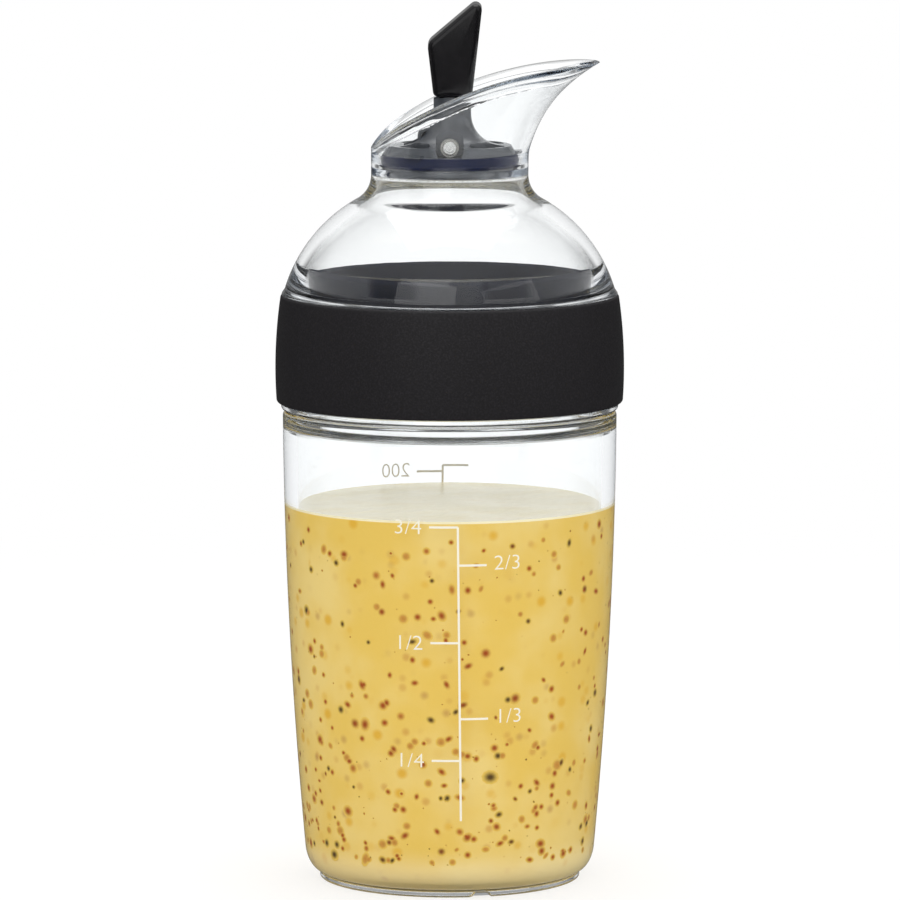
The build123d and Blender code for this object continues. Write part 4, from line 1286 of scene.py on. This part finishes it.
class SHAKER_OT_lever(bpy.types.Operator):
    """Makes the lever's soft-edged paddle, and its arm in the housing, in glossy black nylon"""

    bl_idname = "shaker.lever"
    bl_label = "Lever"

    def execute(self, context):
        lever = context.scene.shaker_lever
        low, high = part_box("lever_pin")
        pin = (low.z + high.z) / 2
        gloss = moulded_plastic("black_nylon", context.scene.shaker_colours.nylon, 0.1, 0.2, 0.3)
        paddle = grid_piece("lever_paddle", self.paddle(lever, pin), closed=False)
        dress(paddle, gloss, "tilting_lever", ["lever"])
        dress(new_object("lever_arm", self.arm(lever, pin)), gloss, "tilting_lever")
        return {"FINISHED"}

    def paddle(self, lever, pin):
        """The paddle as rings of its outline from one side to the other. Each ring is the outline moved in
        along its own normals by r (1 - cos a) while it moves out along the pin by r sin a, which rounds the
        edges. The foot's places lie on its circle round the pin, at the height sqrt(R^2 - x^2)."""
        between = np.linspace(lever.front_foot, -lever.back_foot, 9)[2:-2]
        across = np.array([lever.front_foot, *between, -lever.back_foot])
        foot = np.stack([across, np.sqrt(lever.foot_radius ** 2 - across ** 2)], -1)
        outline = rounded([(*foot[0], lever.foot_round), (lever.front_top, lever.high, lever.tip_round),
                           (-lever.back_top, lever.low, lever.corner_round), (*foot[-1], lever.foot_round)]
                          + [tuple(place) for place in foot[-2:0:-1]], steps=12)
        along = np.roll(outline, -1, 0) - np.roll(outline, 1, 0)
        inward = np.stack([-along[:, 1], along[:, 0]], -1)
        inward /= np.linalg.norm(inward, axis=1, keepdims=True)
        turn = np.linspace(-math.pi / 2, 0, 9)
        shift = np.concatenate([1 - np.cos(turn), 1 - np.cos(turn[::-1])]) * lever.edge_round
        side = lever.edge_round - lever.depth / 2 + lever.edge_round * np.sin(turn)
        side = np.concatenate([side, -side[::-1]])[:, None]
        x = outline[:, 0] + inward[:, 0] * shift[:, None]
        z = pin + outline[:, 1] + inward[:, 1] * shift[:, None]
        return np.stack([x, side + 0 * x, z], -1)

    def arm(self, lever, pin):
        """The arm alone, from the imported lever: what lies near the middle plane and below the paddle."""
        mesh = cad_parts["lever"].data.copy()
        mesh.materials.clear()
        shape = bmesh.new()
        shape.from_mesh(mesh)
        top = pin + lever.foot_radius + lever.arm_half
        spare = [v for v in shape.verts if abs(v.co.y) > lever.arm_half or v.co.z > top]
        bmesh.ops.delete(shape, geom=spare, context="VERTS")
        shape.to_mesh(mesh)
        shape.free()
        return mesh


class SHAKER_OT_pins(bpy.types.Operator):
    """Finishes the lever's pin, its collar and the crank pin in turned steel"""

    bl_idname = "shaker.pins"
    bl_label = "Pins"

    def execute(self, context):
        low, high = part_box("lever_pin")
        steel = turned_steel(context.scene.shaker_colours, (low.z + high.z) / 2)
        for node in ("lever_pin", "pin_collar", "crank_pin"):
            refinish(node, steel)
        return {"FINISHED"}


makers = (SHAKER_OT_stage, SHAKER_OT_container, SHAKER_OT_dressing, SHAKER_OT_marks, SHAKER_OT_seals,
          SHAKER_OT_dome, SHAKER_OT_band, SHAKER_OT_spout, SHAKER_OT_valve, SHAKER_OT_lever, SHAKER_OT_pins)
groups = {"shaker_container": ContainerSizes, "shaker_thread": ThreadSizes, "shaker_dressing": DressingSizes,
          "shaker_lid": LidSizes, "shaker_spout": SpoutSizes, "shaker_band": BandSizes,
          "shaker_lever": LeverSizes, "shaker_marks": MarkSizes, "shaker_colours": ShakerColours,
          "shaker_stage": StageSizes}


class SHAKER_PT_panel(bpy.types.Panel):
    """Lists the shaker's operators and its sizes"""

    bl_idname = "SHAKER_PT_panel"
    bl_label = "Dressing shaker"
    bl_space_type = "VIEW_3D"
    bl_region_type = "UI"
    bl_category = "Shaker"

    def draw(self, context):
        for maker in makers:
            self.layout.operator(maker.bl_idname)
        for name in groups:
            box = self.layout.box()
            for size in getattr(context.scene, name).bl_rna.properties:
                if not size.is_readonly and size.identifier != "name":
                    box.prop(getattr(context.scene, name), size.identifier)


def register():
    for group in groups.values():
        bpy.utils.register_class(group)
    for name, group in groups.items():
        setattr(bpy.types.Scene, name, bpy.props.PointerProperty(type=group))
    for maker in (*makers, SHAKER_PT_panel):
        bpy.utils.register_class(maker)


def unregister():
    for maker in (SHAKER_PT_panel, *reversed(makers)):
        bpy.utils.unregister_class(maker)
    for name, group in groups.items():
        delattr(bpy.types.Scene, name)
        bpy.utils.unregister_class(group)


def main():
    register()
    for maker in makers:
        family, name = maker.bl_idname.split(".")
        getattr(getattr(bpy.ops, family), name)()


if __name__ == "__main__":
    main()
